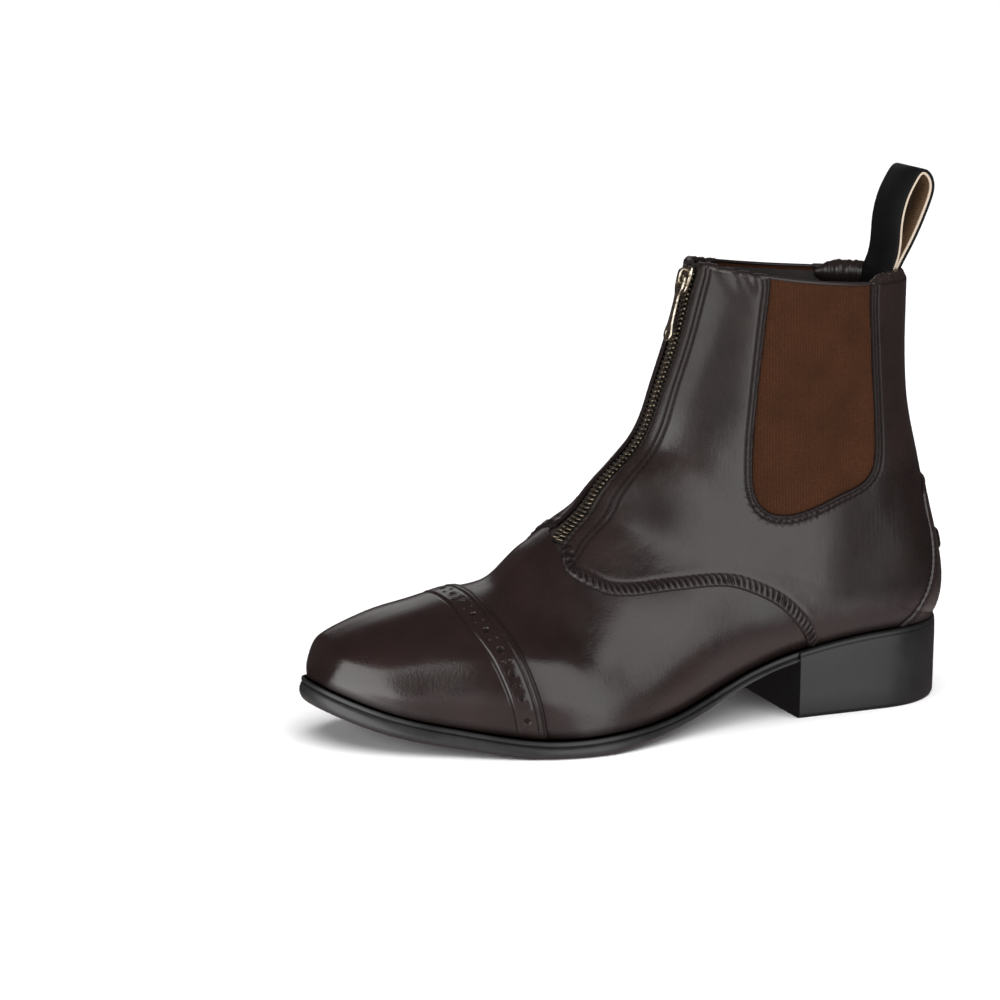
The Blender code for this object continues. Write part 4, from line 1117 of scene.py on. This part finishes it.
# Slider and pull. A die-cast brass slider held by the teeth, with a bridge over its top
# plate, and a flat pull with an eye that hangs on the bridge and swings up.
SLIDER_DOWN = 5.5
PULL_LONG = 28.0
AXIS_OUT = 2.5
PLATE_LEVEL = (-0.3, 1.4)
PLATE_ROUND = 0.4
PULL_LEVEL = (-0.6, 0.6)
PULL_ROUND = 0.28
PULL_CLEAR = 1.7
BODY_HALF = [(-4.7, -1.2), (-4.9, -3.0), (-4.2, -4.2), (-1.5, -4.5), (2.0, -4.1), (5.0, -3.6), (6.5, -2.8),
             (6.8, -1.4)]
BRIDGE_HALF = [(-2.9, 1.0), (-2.9, 2.4), (-2.6, 3.4), (-1.6, 3.9)]
BRIDGE_RING = np.array([(-1.2, -0.25), (-1.0, -0.45), (1.0, -0.45), (1.2, -0.25),
                        (1.2, 0.25), (1.0, 0.45), (-1.0, 0.45), (-1.2, 0.25)])
PULL_HALF = [(-0.6, 2.6), (0.4, 3.4), (2.4, 3.7), (4.8, 3.5), (6.6, 2.7), (8.4, 1.9), (11.0, 1.65),
             (16.0, 1.75), (20.5, 2.0), (22.6, 2.7), (24.4, 3.3), (26.2, 3.1), (27.5, 2.1), (28.0, 0.7)]
WINDOW_HALF = [(0.6, -1.9), (1.2, -2.2), (4.2, -2.1), (5.2, -1.2)]
PULL_EYE = [(25.1 + 1.5 * math.cos(k * math.pi / 8), 1.5 * math.sin(k * math.pi / 8)) for k in range(16)]
ACROSS_BOOT = np.array([0.0, 1.0, 0.0])


def both_sides(half, *middle):
    """Outline with a middle point or none, and with the half mirrored across."""
    return half + list(middle) + [(a, -b) for a, b in half[::-1]]


def cast_plate(outlines, low, high, round_off, place, down, out):
    """Flat metal with rounded edges and holes, from outlines down and across it."""
    curve = bpy.data.curves.new("plate", "CURVE")
    curve.dimensions = "2D"
    curve.fill_mode = "BOTH"
    curve.extrude = (high - low) / 2 - round_off
    curve.bevel_depth = round_off
    curve.bevel_resolution = 2
    for outline in outlines:
        line = curve.splines.new("POLY")
        line.points.add(len(outline) - 1)
        for spot, (a, b) in zip(line.points, outline):
            spot.co = (a, b, 0.0, 1.0)
        line.use_cyclic_u = True
    curve.offset = -round_off
    item = bpy.data.objects.new("plate", curve)
    bpy.context.scene.collection.objects.link(item)
    bpy.context.view_layer.update()
    mesh = bpy.data.meshes.new_from_object(item.evaluated_get(bpy.context.evaluated_depsgraph_get()))
    work = bmesh.new()
    work.from_mesh(mesh)
    bmesh.ops.remove_doubles(work, verts=work.verts[:], dist=1e-4)
    spots = np.array([corner.co for corner in work.verts])
    work.verts.index_update()
    faces = [tuple(corner.index for corner in face.verts) for face in work.faces]
    work.free()
    bpy.data.objects.remove(item)
    bpy.data.curves.remove(curve)
    spots[:, 2] += (high + low) / 2
    return place + spots[:, :1] * down + spots[:, 1:2] * ACROSS_BOOT + spots[:, 2:] * out, faces


def joined(*forms):
    """Several forms as one list of points and faces."""
    points, faces, start = [], [], 0
    for spots, sides in forms:
        points.append(spots)
        faces += [tuple(k + start for k in side) for side in sides]
        start += len(spots)
    return np.vstack(points), faces


spots, outs, _ = zip_frame(np.array([SLIDER_DOWN, SLIDER_DOWN + PULL_LONG]))
slider_at, slider_out = spots[0], outs[0]
slider_down = unit(np.cross(ACROSS_BOOT, slider_out))
slider_brass = metal_paint("antique brass", (0.80, 0.73, 0.60), (0.20, 0.16, 0.11), 0.2)
arch = smooth_line(BRIDGE_HALF + [(0.0, 3.95)] + [(-a, b) for a, b in BRIDGE_HALF[::-1]], 0.35)
arch_along = np.gradient(arch, axis=0)
arch_away = unit(np.column_stack([-arch_along[:, 1], arch_along[:, 0]]))
arch, arch_away = (spot[:, :1] * slider_down + spot[:, 1:] * slider_out for spot in (arch, arch_away))
bridge = sweep(slider_at + arch, ACROSS_BOOT, arch_away, BRIDGE_RING)
outline = both_sides(BODY_HALF) + [(-3.4, 0.0)]
plate = cast_plate([outline], *PLATE_LEVEL, PLATE_ROUND, slider_at, slider_down, slider_out)
make_piece("slider", joined(plate, bridge), slider_brass, "zip_slider", "zip_slider")

hinge_at = slider_at + slider_out * AXIS_OUT
pull_down = unit((spots[1] + outs[1] * PULL_CLEAR - hinge_at) * (1.0, 0.0, 1.0))
outlines = [both_sides(PULL_HALF), both_sides(WINDOW_HALF, (5.4, 0.0)), PULL_EYE]
pull_out = np.cross(pull_down, ACROSS_BOOT)
tab = cast_plate(outlines, *PULL_LEVEL, PULL_ROUND, hinge_at, pull_down, pull_out)
make_piece("pull_tab", tab, slider_brass, "zip_pull", "zip_pull", "pull")


# Toe cap. A second layer of calf over the toe, sewn on with a double row behind and a
# single row in front, and a band of punched holes between the rows.
CAP_EDGE = [(209.0, 80.0), (212.8, 66.0), (213.9, 61.5), (212.8, 57.0), (210.2, 51.0), (207.0, 41.0),
            (202.4, 24.5), (198.6, 9.0), (197.0, -10.0)]
CAP_LINE = np.vstack([smooth_line(CAP_EDGE), [(197.0, -10.0), (320.0, -10.0), (320.0, 80.0)]])
CAP_ROWS = (1.5, 3.6)
CAP_FRONT_ROW = 12.6
SEWN_ROWS = CAP_ROWS + (CAP_FRONT_ROW,)
HOLE_ROW = 7.6
HOLE_PITCH = 11.0
BIG_HOLE = 1.25
SMALL_HOLE = 0.6
HOLE_DEEP = 0.55
CAP_DENT = 0.34
CAP_PITCH = 2.4
CAP = EDGE

cap_field = leather_distance(net_rows, net_faces, side_distance(net_rows, CAP_LINE)[0])
hole_line = seam_path(with_columns(net_rows, cap_field), net_faces, np.zeros(len(net_rows)), CAP, HOLE_ROW,
                      lambda middle: middle[:, 2] > 12.0)[0]
hole_line = hole_line[np.argsort(np.arctan2(hole_line[:, 1], hole_line[:, 2] - 10.0))]
hole_place = travel(hole_line)
holes = []
for place in np.arange(4.0, hole_place[-1] - 3.0, HOLE_PITCH / 2):
    spot = np.array([np.interp(place, hole_place, hole_line[:, k]) for k in range(3)])
    if len(holes) % 3 == 0:
        holes.append((*spot, BIG_HOLE))
    else:
        holes += [(spot[0] + shift, spot[1], spot[2], SMALL_HOLE) for shift in (-1.7, 1.7)]
holes = np.array(holes)


def hole_gap(spots):
    """Distance past the rim of the nearest punched hole."""
    return (np.linalg.norm(spots[:, None, :] - holes[None, :, :3], axis=2) - holes[None, :, 3]).min(axis=1)


def cap_grain(middle):
    """Size of the net's sides: fine by the sewn rows and finest round the holes."""
    sewn = (middle[:, CAP] < 5.2) | (np.abs(middle[:, CAP] - CAP_FRONT_ROW + 0.6) < 2.0)
    wanted = np.where(sewn, 0.62, np.where(middle[:, CAP] < 16.0, 1.3, 3.0))
    banded = np.abs(middle[:, CAP] - HOLE_ROW) < 5.0
    gap = hole_gap(middle[banded, POINT])
    wanted[banded] = np.minimum(wanted[banded], np.clip(0.16 + 0.45 * np.abs(gap), 0.16, 1.3))
    return wanted


rows, faces, edge = cut_panel(cap_field, cap_grain, 5)
height = folded(edge, QUARTER_UNDER, QUARTER_TOP, FOLD_ROUND)
for row in SEWN_ROWS:
    height += groove(edge - row, CAP_DENT, 0.7)
height += 0.18 * np.exp(-((edge - sum(CAP_ROWS) / 2) / 0.55) ** 2)
height += 0.2 * np.exp(-((edge - CAP_FRONT_ROW + 1.2) / 0.6) ** 2)
gap = hole_gap(rows[:, POINT])
punched = np.clip(0.5 - gap / 0.3, 0, 1)
height -= HOLE_DEEP * punched * punched * (3 - 2 * punched)
height += 0.10 * np.exp(-((gap - 0.45) / 0.4) ** 2)
lift = relief(rows)
# Painted shade: the mark darkens the leather in the grooves of the sewn rows and inside the punched holes,
# besides the dyed edge.
mark = np.minimum(edge + 0.1, 2.1 * np.abs(edge[:, None] - SEWN_ROWS).min(axis=1))
mark = np.where(punched > 0.4, np.minimum(mark, 0.55), mark)
cap = rows, faces, height + lift
cap_calf = leather_paint("toe cap calf", (0.0112, 0.0064, 0.0060), 0.2, 0.05)
panel_piece("toe_cap_leather", *cap, QUARTER_UNDER + lift, cap_calf, "toe_cap", "toe_cap",
            "edge", foot_shade(rows, mark))


def over_sole(middle):
    return middle[:, FOOT] < 0.1


paths = [seam_path(*cap, CAP, row, over_sole) for row in SEWN_ROWS]
fine_grain = bead_item("fine stitch", FINE_STITCH)
string_beads("toe_cap_stitches", paths, fine_grain, CAP_PITCH, 0.0, brown_thread, "toe_cap")


# Counter and spur rest. A calf strip sewn over the back of the heel, its edge turned in
# and stitched, with a short stitched-down bar that keeps a spur strap from slipping.
COUNTER_EDGE = [(6.0, 97.0), (11.5, 94.5), (13.2, 90.0), (11.6, 78.0), (10.9, 65.5), (12.4, 55.0),
                (16.7, 45.5), (22.0, 39.5), (28.2, 35.4), (31.0, 28.0)]
COUNTER_LINE = np.vstack([[(-40.0, 97.0)], smooth_line(COUNTER_EDGE),
                          [(31.0, 28.0), (31.0, 0.0), (-40.0, 0.0)]])
COUNTER_UNDER = 0.25
COUNTER_TOP = 1.25
COUNTER_ROW = 2.2
COUNTER_ROUND = 1.0
COUNTER_PITCH = 2.5
SPUR_MIDDLE = 66.5
SPUR_HALF = 11.0
SPUR_TALL = 5.2
SPUR_UNDER = 1.3
SPUR_OUT = 2.1
SPUR_ROUND = 3.0
SPUR_EDGE = 3.2

counter_field = leather_distance(net_rows, net_faces, side_distance(net_rows, COUNTER_LINE)[0])
counter_field = np.where(net_rows[:, 0] > 60.0, -99.0, counter_field)
rows, faces, edge = cut_panel(counter_field, lambda middle: np.where(middle[:, EDGE] < 5.0, 0.8, 2.0), 2)
lift = relief(rows)
height = folded(edge, COUNTER_UNDER, COUNTER_TOP, COUNTER_ROUND)
height += 0.35 * np.exp(-((edge - 0.8) / 0.6) ** 2) + groove(edge - COUNTER_ROW, 0.3) + lift
# Painted shade in the groove of the stitched row; the turned edge is not darkened.
mark = 0.5 + 1.4 * np.abs(edge - COUNTER_ROW)
panel_piece("counter_leather", rows, faces, height, COUNTER_UNDER + lift, calf, "counter", "counter",
            "edge", foot_shade(rows, mark))
paths = [seam_path(rows, faces, height, EDGE, COUNTER_ROW, over_sole)]
string_beads("counter_stitches", paths, fine_grain, COUNTER_PITCH, 0.0, brown_thread, "counter")

spur_across = SPUR_HALF - np.abs(net_rows[:, 1])
spur_up = SPUR_TALL - np.abs(net_rows[:, 2] - SPUR_MIDDLE)
corner = np.hypot(np.clip(SPUR_ROUND - spur_across, 0, None), np.clip(SPUR_ROUND - spur_up, 0, None))
spur_field = np.where((spur_across < SPUR_ROUND) & (spur_up < SPUR_ROUND), SPUR_ROUND - corner,
                      np.minimum(spur_across, spur_up))
spur_field = np.where(net_rows[:, 0] > 30.0, -99.0, spur_field)
rows, faces, edge = cut_panel(spur_field, lambda middle: np.full(len(middle), 0.6), 3, 2.5)
lift = relief(rows)
height = SPUR_UNDER + FOLD_THIN + SPUR_OUT * edge_round(edge, SPUR_EDGE) + lift
panel_piece("spur_rest_bar", rows, faces, height, SPUR_UNDER + lift, calf, "spur_rest", "spur_rest",
            "edge", edge)


# Pull loop. A strap folded over and sewn inside the back of the collar: black webbing
# outside, tan lining inside, and a cream cord along both edges. It is left without print.
LOOP_LINE = np.array([
    [23.9, 175.0], [23.6, 181.0], [22.4, 186.0], [19.9, 191.0], [14.9, 199.8], [10.2, 209.8],
    [7.2, 217.5], [6.5, 223.0], [8.6, 227.2], [12.0, 228.0], [15.4, 223.6], [18.8, 216.9],
    [21.2, 207.5], [21.8, 199.0], [23.0, 191.5], [25.2, 186.0], [26.1, 181.0], [26.3, 175.0],
])
LOOP_HALF = 12.0
LOOP_POINTS = 110
CORD_RADIUS = 0.6


def weave_paint(name, colour, scale, roughness):
    """Plain woven strap: two crossed sets of fine ribs."""
    paint, tree, shader = paint_base(name, colour, roughness, Specular_IOR_Level=0.15)
    place = own_place(tree)
    cloth = mixed(tree, "MULTIPLY", 1.0, *[wave(tree, place, scale, 0.5, way) for way in "YZ"])
    shades = colour_ramp(tree, cloth, [(0.0, times(colour, 0.65)), (0.7, times(colour, 1.15))])
    finish(tree, shader, {"Base Color": shades}, (cloth, 0.35, 0.0002))
    return paint


def strap_ring(half, low, high, soft=0.25):
    """Section of a flat strap with eased edges, across and away from its middle line."""
    return np.array([(-half, low + soft), (-half + soft, low), (half - soft, low), (half, low + soft),
                     (half, high - soft), (half - soft, high), (-half + soft, high), (-half, high - soft)])


loop = spline(np.arange(len(LOOP_LINE)), LOOP_LINE, np.linspace(0, len(LOOP_LINE) - 1, LOOP_POINTS))
loop_along = np.gradient(loop, axis=0)
flat = np.zeros(LOOP_POINTS)
loop_away = unit(np.column_stack([-loop_along[:, 1], flat, loop_along[:, 0]]))
loop_path = np.column_stack([loop[:, 0], flat, loop[:, 1]])
cord_rings = [CORD_RADIUS * round_ring(8) + [side * (LOOP_HALF - 0.5), -0.75] for side in (-1, 1)]
for name, rings, paint, node in (
        ("pull_loop_strap", [strap_ring(LOOP_HALF, -0.35, 1.1)],
         weave_paint("black webbing", (0.0045, 0.0045, 0.005), 260.0, 0.6), "pull_loop"),
        ("pull_loop_lining", [strap_ring(LOOP_HALF - 0.6, -1.0, -0.4, 0.2)],
         weave_paint("tan webbing", (0.14, 0.085, 0.045), 300.0, 0.8), None),
        ("pull_loop_edges", cord_rings,
         weave_paint("cream cord", (0.52, 0.43, 0.34), 420.0, 0.75), None)):
    form = joined(*[sweep(loop_path, ACROSS_BOOT, loop_away, ring) for ring in rings])
    make_piece(name, form, paint, "pull_loop", node)


# Insole. A thin board covered with dark leather, cut to the outline of the sole. It lies
# on the sole and closes the foot bed inside the wall.
INSOLE_INSET = -4.5
INSOLE_THICK = 2.4


def sole_loop(inset, stations):
    """Edge loop of the sole, moved outward by an amount: outer points then inner points."""
    fine = FOOT_LENGTH * (1 - np.cos(np.linspace(0, math.pi, 1201))) / 2
    outer, inner = sole_edge(fine)
    loop = np.vstack([np.column_stack([fine, outer]), np.column_stack([fine, inner])[-2:0:-1]])
    along = np.roll(loop, -1, axis=0) - np.roll(loop, 1, axis=0)
    shifted = loop + unit(np.column_stack([-along[:, 1], along[:, 0]])) * inset
    near = np.searchsorted(fine, np.clip(stations, 0, FOOT_LENGTH) - 1e-9)
    back = (len(loop) - near) % len(loop)
    return shifted[near], shifted[back]


def ladder(levels, stations):
    """Closed form from loops of the sole's edge: levels give the inset and the height at each station."""
    rings = []
    for inset, height in levels:
        inset = np.broadcast_to(inset, len(stations))
        outer, inner = np.zeros((len(stations), 2)), np.zeros((len(stations), 2))
        for value in np.unique(inset):
            some = inset == value
            outer[some], inner[some] = sole_loop(value, stations[some])
        ring = np.vstack([outer, inner[-2:0:-1]])
        rings.append(np.column_stack([ring, np.concatenate([height, height[-2:0:-1]])]))
    size = len(rings[0])
    points, faces = loft(np.array(rings))
    faces = faces[:-2]
    for start in (0, (len(rings) - 1) * size):
        for k in range(len(stations) - 1):
            quad = [k, k + 1, (size - k - 1) % size, (size - k) % size]
            faces.append(tuple(start + p for p in dict.fromkeys(quad)))
    return points, faces


stations = FOOT_LENGTH * (1 - np.cos(np.linspace(0, math.pi, 90))) / 2
top = seat(stations) + INSOLE_THICK
levels = [(INSOLE_INSET - 0.6, top), (INSOLE_INSET, top - 0.5), (INSOLE_INSET, seat(stations) + 0.05)]
insole_leather = plain_leather("insole leather", (0.022, 0.018, 0.016), 0.7, 0.4)
make_piece("insole_board", ladder(levels, stations), insole_leather, "insole", "insole")


# Sole. One moulded unit of black rubber: a plate with a rounded edge, a low heel block with
# a flat breast, and a recessed tread of zigzag ribs between two bars.
RIM = 2.6
SOLE_GAP = 0.3
SOLE_FORE = 8.6
SOLE_TOE = 10.4
SOLE_WAIST = 5.2
SOLE_ARCH = 6.0
HEEL_BREAST = 76.3
HEEL_TAPER = 0.3
TREAD_DEEP = 1.0
WAIST_DEEP = 0.7
TREAD_RIM = 9.5
TREAD_FIELDS = [(134.0, 190.0), (197.5, 243.5), (250.0, 262.0)]
WAIST_GROOVES = [(114.0, 115.6), (119.0, 120.6), (124.0, 125.6)]
BORDER_LINES = (-3.0, -5.2)
BORDER_START = 130.0
BORDER_DEEP = 0.35
EDGE_GROOVE = 2.95
ZIGZAG_PITCH = 6.5
ZIGZAG_LONG = 18.0
ZIGZAG_SWING = 6.4
ZIGZAG_HALF = 48.0
ZIGZAG_STEP = 0.75
RIB_CLEAR = 1.4
RIB_RING = np.array([(-1.4, 0.15), (1.4, 0.15), (1.05, -0.95), (-1.05, -0.95)])
# Painted shade on each level of the plate's edge, from the top: dark in the crease under the upper, in the
# edge groove and along the bottom, leaving a lit band between
EDGE_SHADE = (1.0, 1.0, 1.0, 0.6, 0.1, 0.0, 0.6, 0.6, 0.0, 0.0, 0.0, 0.0, 0.4, 0.7, 0.7)
# Painted shade on the sides of the heel block, and near black on the heel breast
HEEL_SHADE = 0.2
BREAST_SHADE = 0.85
WAIST_RIBS = np.linspace(80.0, 136.0, 19)
WAIST_RING = np.array([(-0.6, -0.6), (0.6, -0.6), (0.45, 0.6), (-0.45, 0.6)])


def rubber_paint():
    """Moulded rubber: dark grey, faintly mottled and scuffed, with a soft shine; where its shade mark is high
    the colour is painted near black and the shine taken away, as painted shade.
    """
    paint, tree, shader = paint_base("black rubber", (0.012, 0.0123, 0.013), 0.42)
    place, raw = own_place(tree), own_mark(tree, "raw")
    cloud = noise(tree, place, 110.0, 6.0, 0.65)
    shades = colour_ramp(tree, cloud, [(0.3, (0.0095, 0.0098, 0.0102)), (0.7, (0.0155, 0.016, 0.0168))])
    finish(tree, shader,
           {"Base Color": mixed(tree, "MIX", raw, shades, (0.002, 0.002, 0.002, 1.0)),
            "Specular IOR Level": ranged(tree, raw, 0.0, 1.0, 0.52, 0.0),
            "Roughness": ranged(tree, cloud, 0.3, 0.7, 0.3, 0.44)},
           (noise(tree, place, 1800.0, 3.0), 0.15, 0.0002))
    return paint


def sole_under(x):
    along = [95.0, 140.0, 170.0, 220.0, FOOT_LENGTH]
    thick = np.interp(x, along, [SOLE_WAIST, SOLE_ARCH, SOLE_FORE, SOLE_FORE, SOLE_TOE])
    return np.maximum(seat(x) - thick, 0.0)


cosine = FOOT_LENGTH * (1 - np.cos(np.linspace(0, math.pi, 131))) / 2
cuts = [spot + shift for pair in TREAD_FIELDS + WAIST_GROOVES for spot in pair for shift in (-0.15, 0.15)]
before = np.sort(np.concatenate([cosine[cosine < HEEL_BREAST - 0.5], [HEEL_BREAST - 0.3, HEEL_BREAST]]))
beyond = np.unique(np.concatenate([[HEEL_BREAST], cosine[cosine > HEEL_BREAST + 0.5], cuts]))
stations = np.concatenate([before, beyond])
in_heel = np.arange(len(stations)) < len(before)
top = seat(stations) - SOLE_GAP
under = np.where(in_heel, 0.0, sole_under(stations))
deep = np.zeros(len(stations))
for fields, depth in ((TREAD_FIELDS, TREAD_DEEP), (WAIST_GROOVES, WAIST_DEEP)):
    for start, end in fields:
        deep[(stations > start) & (stations < end)] = depth
line_deep = np.where(stations > BORDER_START, BORDER_DEEP, 0.0)


def either(heel, fore):
    return np.where(in_heel, heel, fore)


def down_edge(share):
    """Height on the edge of the plate, from under its groove to the bottom."""
    return (top - EDGE_GROOVE) * (1 - share) + under * share


levels = [
    (-0.8, top - 1.0),
    (0.2, top - 1.0),
    (RIM - 1.9, top - 0.1),
    (either(RIM - 1.0, RIM - 1.2), top - 0.35),
    (either(RIM - 0.3, RIM - 0.95), top - 1.1),
    (either(RIM - 0.2, RIM - 0.95), top - 1.8),
    (either(RIM - 0.2, RIM - 1.4), top - 2.15),
    (either(RIM - 0.2, RIM - 1.4), top - 2.55),
    (either(RIM - 0.1, RIM - 0.7), top - EDGE_GROOVE),
    (either(RIM, RIM - 0.15), either(top - 8.0, down_edge(0.22))),
    (either(RIM - 0.1, RIM), either(top - 14.0, down_edge(0.44))),
    (either(RIM - 0.2, RIM - 0.3), either(10.0, down_edge(0.66))),
    (either(RIM - HEEL_TAPER, RIM - 0.9), either(1.9, down_edge(0.84))),
    (either(RIM - HEEL_TAPER - 0.15, RIM - 1.5), either(1.2, down_edge(0.94))),
    (either(RIM - HEEL_TAPER - 0.7, RIM - 2.3), under),
]
for line in BORDER_LINES:
    levels += [(line, under), (line - 0.25, under + line_deep), (line - 0.65, under + line_deep),
               (line - 0.9, under)]
levels += [(-TREAD_RIM, under), (-TREAD_RIM - 0.4, under + deep)]
rubber = rubber_paint()
form = ladder(levels, stations)
order = np.concatenate([np.arange(len(stations)), np.arange(len(stations))[-2:0:-1]])
# Painted shade at each point: the darker of its level's and its station's shade
level_shade = np.zeros(len(levels))
level_shade[:len(EDGE_SHADE)] = EDGE_SHADE
station_shade = np.where(np.isclose(stations, HEEL_BREAST), BREAST_SHADE, either(HEEL_SHADE, 0.0))
raw = np.maximum(station_shade[order], level_shade[:, None]).ravel()
make_piece("sole_unit", form, rubber, "sole", "sole", fields={"raw": raw})


def zigzags():
    """Ribs that zigzag across the recessed fields, cut off at the rim and at the bars."""
    line = np.linspace(TREAD_FIELDS[0][0], TREAD_FIELDS[-1][1], 300)
    outer, inner = sole_loop(-TREAD_RIM - RIB_CLEAR, line)
    y = np.arange(-ZIGZAG_HALF, ZIGZAG_HALF, ZIGZAG_STEP)
    swing = ZIGZAG_SWING * 2 * np.abs((y / ZIGZAG_LONG) % 1 - 0.5)
    for start, end in TREAD_FIELDS:
        for first in np.arange(start - ZIGZAG_SWING, end, ZIGZAG_PITCH):
            x = first + swing
            kept = (x > start + RIB_CLEAR) & (x < end - RIB_CLEAR)
            kept &= (y < np.interp(x, *outer.T)) & (y > np.interp(x, *inner.T))
            for run in np.split(np.arange(len(y)), np.flatnonzero(np.diff(kept.astype(int))) + 1):
                if kept[run[0]] and len(run) > 3:
                    path = np.column_stack([x[run], y[run], sole_under(x[run]) + TREAD_DEEP])
                    along = np.gradient(path[:, :2], axis=0)
                    across = unit(np.column_stack([-along[:, 1], along[:, 0], np.zeros(len(run))]))
                    yield sweep(path, across, UPRIGHT, RIB_RING)


make_piece("tread_ribs", joined(*zigzags()), rubber, "sole")
near, far = sole_loop(RIM - 1.0, WAIST_RIBS)[1], sole_loop(RIM, WAIST_RIBS)[1]
foot, head = sole_under(WAIST_RIBS) + 0.3, seat(WAIST_RIBS) - 0.9
ribs = []
for k in range(len(WAIST_RIBS)):
    out = np.append(far[k] - near[k], 0.0)
    across = np.array([-out[1], out[0], 0.0])
    path = np.array([[*near[k], foot[k]], [*near[k], head[k]]]) + 0.5 * out
    ribs.append(sweep(path, across, out, WAIST_RING))
make_piece("waist_ribs", joined(*ribs), rubber, "sole")


# Floor and light. A plain pale floor, a broad soft light on the toe side, a second one to
# the right of the camera, a small one behind, an even sun from the ceiling and a dim room
# that glows from below; the camera stands as in the photograph.
FLOOR_HALF = 30.0
AIM = Vector((0.06149, -0.00332, 0.0988))
CAMERA_TURN, CAMERA_RISE, CAMERA_FAR = 157.78, 12.42, 1.4478
LENS, SENSOR = 125.424, 36.0
FILL_ENERGY = 3.7
FILL_SPREAD = 80.0
FILL_PLACE = (200.0, 75.0, 3.0)
ROOM_TINT = (1.0, 0.82, 0.82, 1.0)
# Upward part of the way looked, from and to, and the glow there
ROOM_GLOW = (-0.6, -0.25, 0.58, 0.06)
# Name, turn, rise, distance, width, height, brightness
SOFT_LIGHTS = [
    ("toe light", 103.5, -4.0, 1.3, 1.4, 1.85, 3.1),
    ("right light", 193.5, 5.0, 1.13, 1.16, 1.75, 1.85),
    ("back light", 340.0, 19.0, 1.7, 1.0, 0.6, 0.65),
]


def stand_off(turn, rise, far):
    """Place seen from the aim at a turn about the upright and a rise over the floor."""
    turn, rise = math.radians(turn), math.radians(rise)
    flat = math.cos(rise)
    return AIM + far * Vector((math.sin(turn) * flat, -math.cos(turn) * flat, math.sin(rise)))


def aimed(item, place):
    item.location = place
    item.rotation_euler = (AIM - place).to_track_quat("-Z", "Y").to_euler()
    bpy.context.scene.collection.objects.link(item)


floor_mesh = bpy.data.meshes.new("floor")
corners = [(x * FLOOR_HALF, y * FLOOR_HALF, 0.0) for x, y in ((-1, -1), (1, -1), (1, 1), (-1, 1))]
floor_mesh.from_pydata(corners, [], [(0, 1, 2, 3)])
floor_mesh.materials.append(paint_base("pale floor", (0.95, 0.95, 0.95), 0.7)[0])
floor = bpy.data.objects.new("floor", floor_mesh)
bpy.context.scene.collection.objects.link(floor)
floor.visible_glossy = False
floor.visible_shadow = False
for name, turn, rise, far, wide, tall, bright in SOFT_LIGHTS:
    lamp = bpy.data.lights.new(name, "AREA")
    lamp.shape = "RECTANGLE"
    lamp.size = wide
    lamp.size_y = tall
    lamp.energy = bright * math.pi * wide * tall
    aimed(bpy.data.objects.new(name, lamp), stand_off(turn, rise, far))
fill = bpy.data.lights.new("ceiling fill", "SUN")
fill.energy = FILL_ENERGY
fill.angle = math.radians(FILL_SPREAD)
fill_item = bpy.data.objects.new("ceiling fill", fill)
aimed(fill_item, stand_off(*FILL_PLACE))
fill_item.visible_glossy = False
room = bpy.data.worlds.new("room")
room.use_nodes = True
sky = room.node_tree
sky.nodes["Background"].inputs["Color"].default_value = ROOM_TINT
way = add_node(sky, "ShaderNodeTexCoord").outputs["Generated"]
up = add_node(sky, "ShaderNodeSeparateXYZ", {"Vector": way}).outputs["Z"]
feed(sky, ranged(sky, up, *ROOM_GLOW), sky.nodes["Background"].inputs["Strength"])
bpy.context.scene.world = room
bpy.context.scene.view_settings.view_transform = "Standard"
lens = bpy.data.cameras.new("camera")
lens.lens = LENS
lens.sensor_width = SENSOR
lens.clip_end = 80.0
camera = bpy.data.objects.new("camera", lens)
aimed(camera, stand_off(CAMERA_TURN, CAMERA_RISE, CAMERA_FAR))
bpy.context.scene.camera = camera
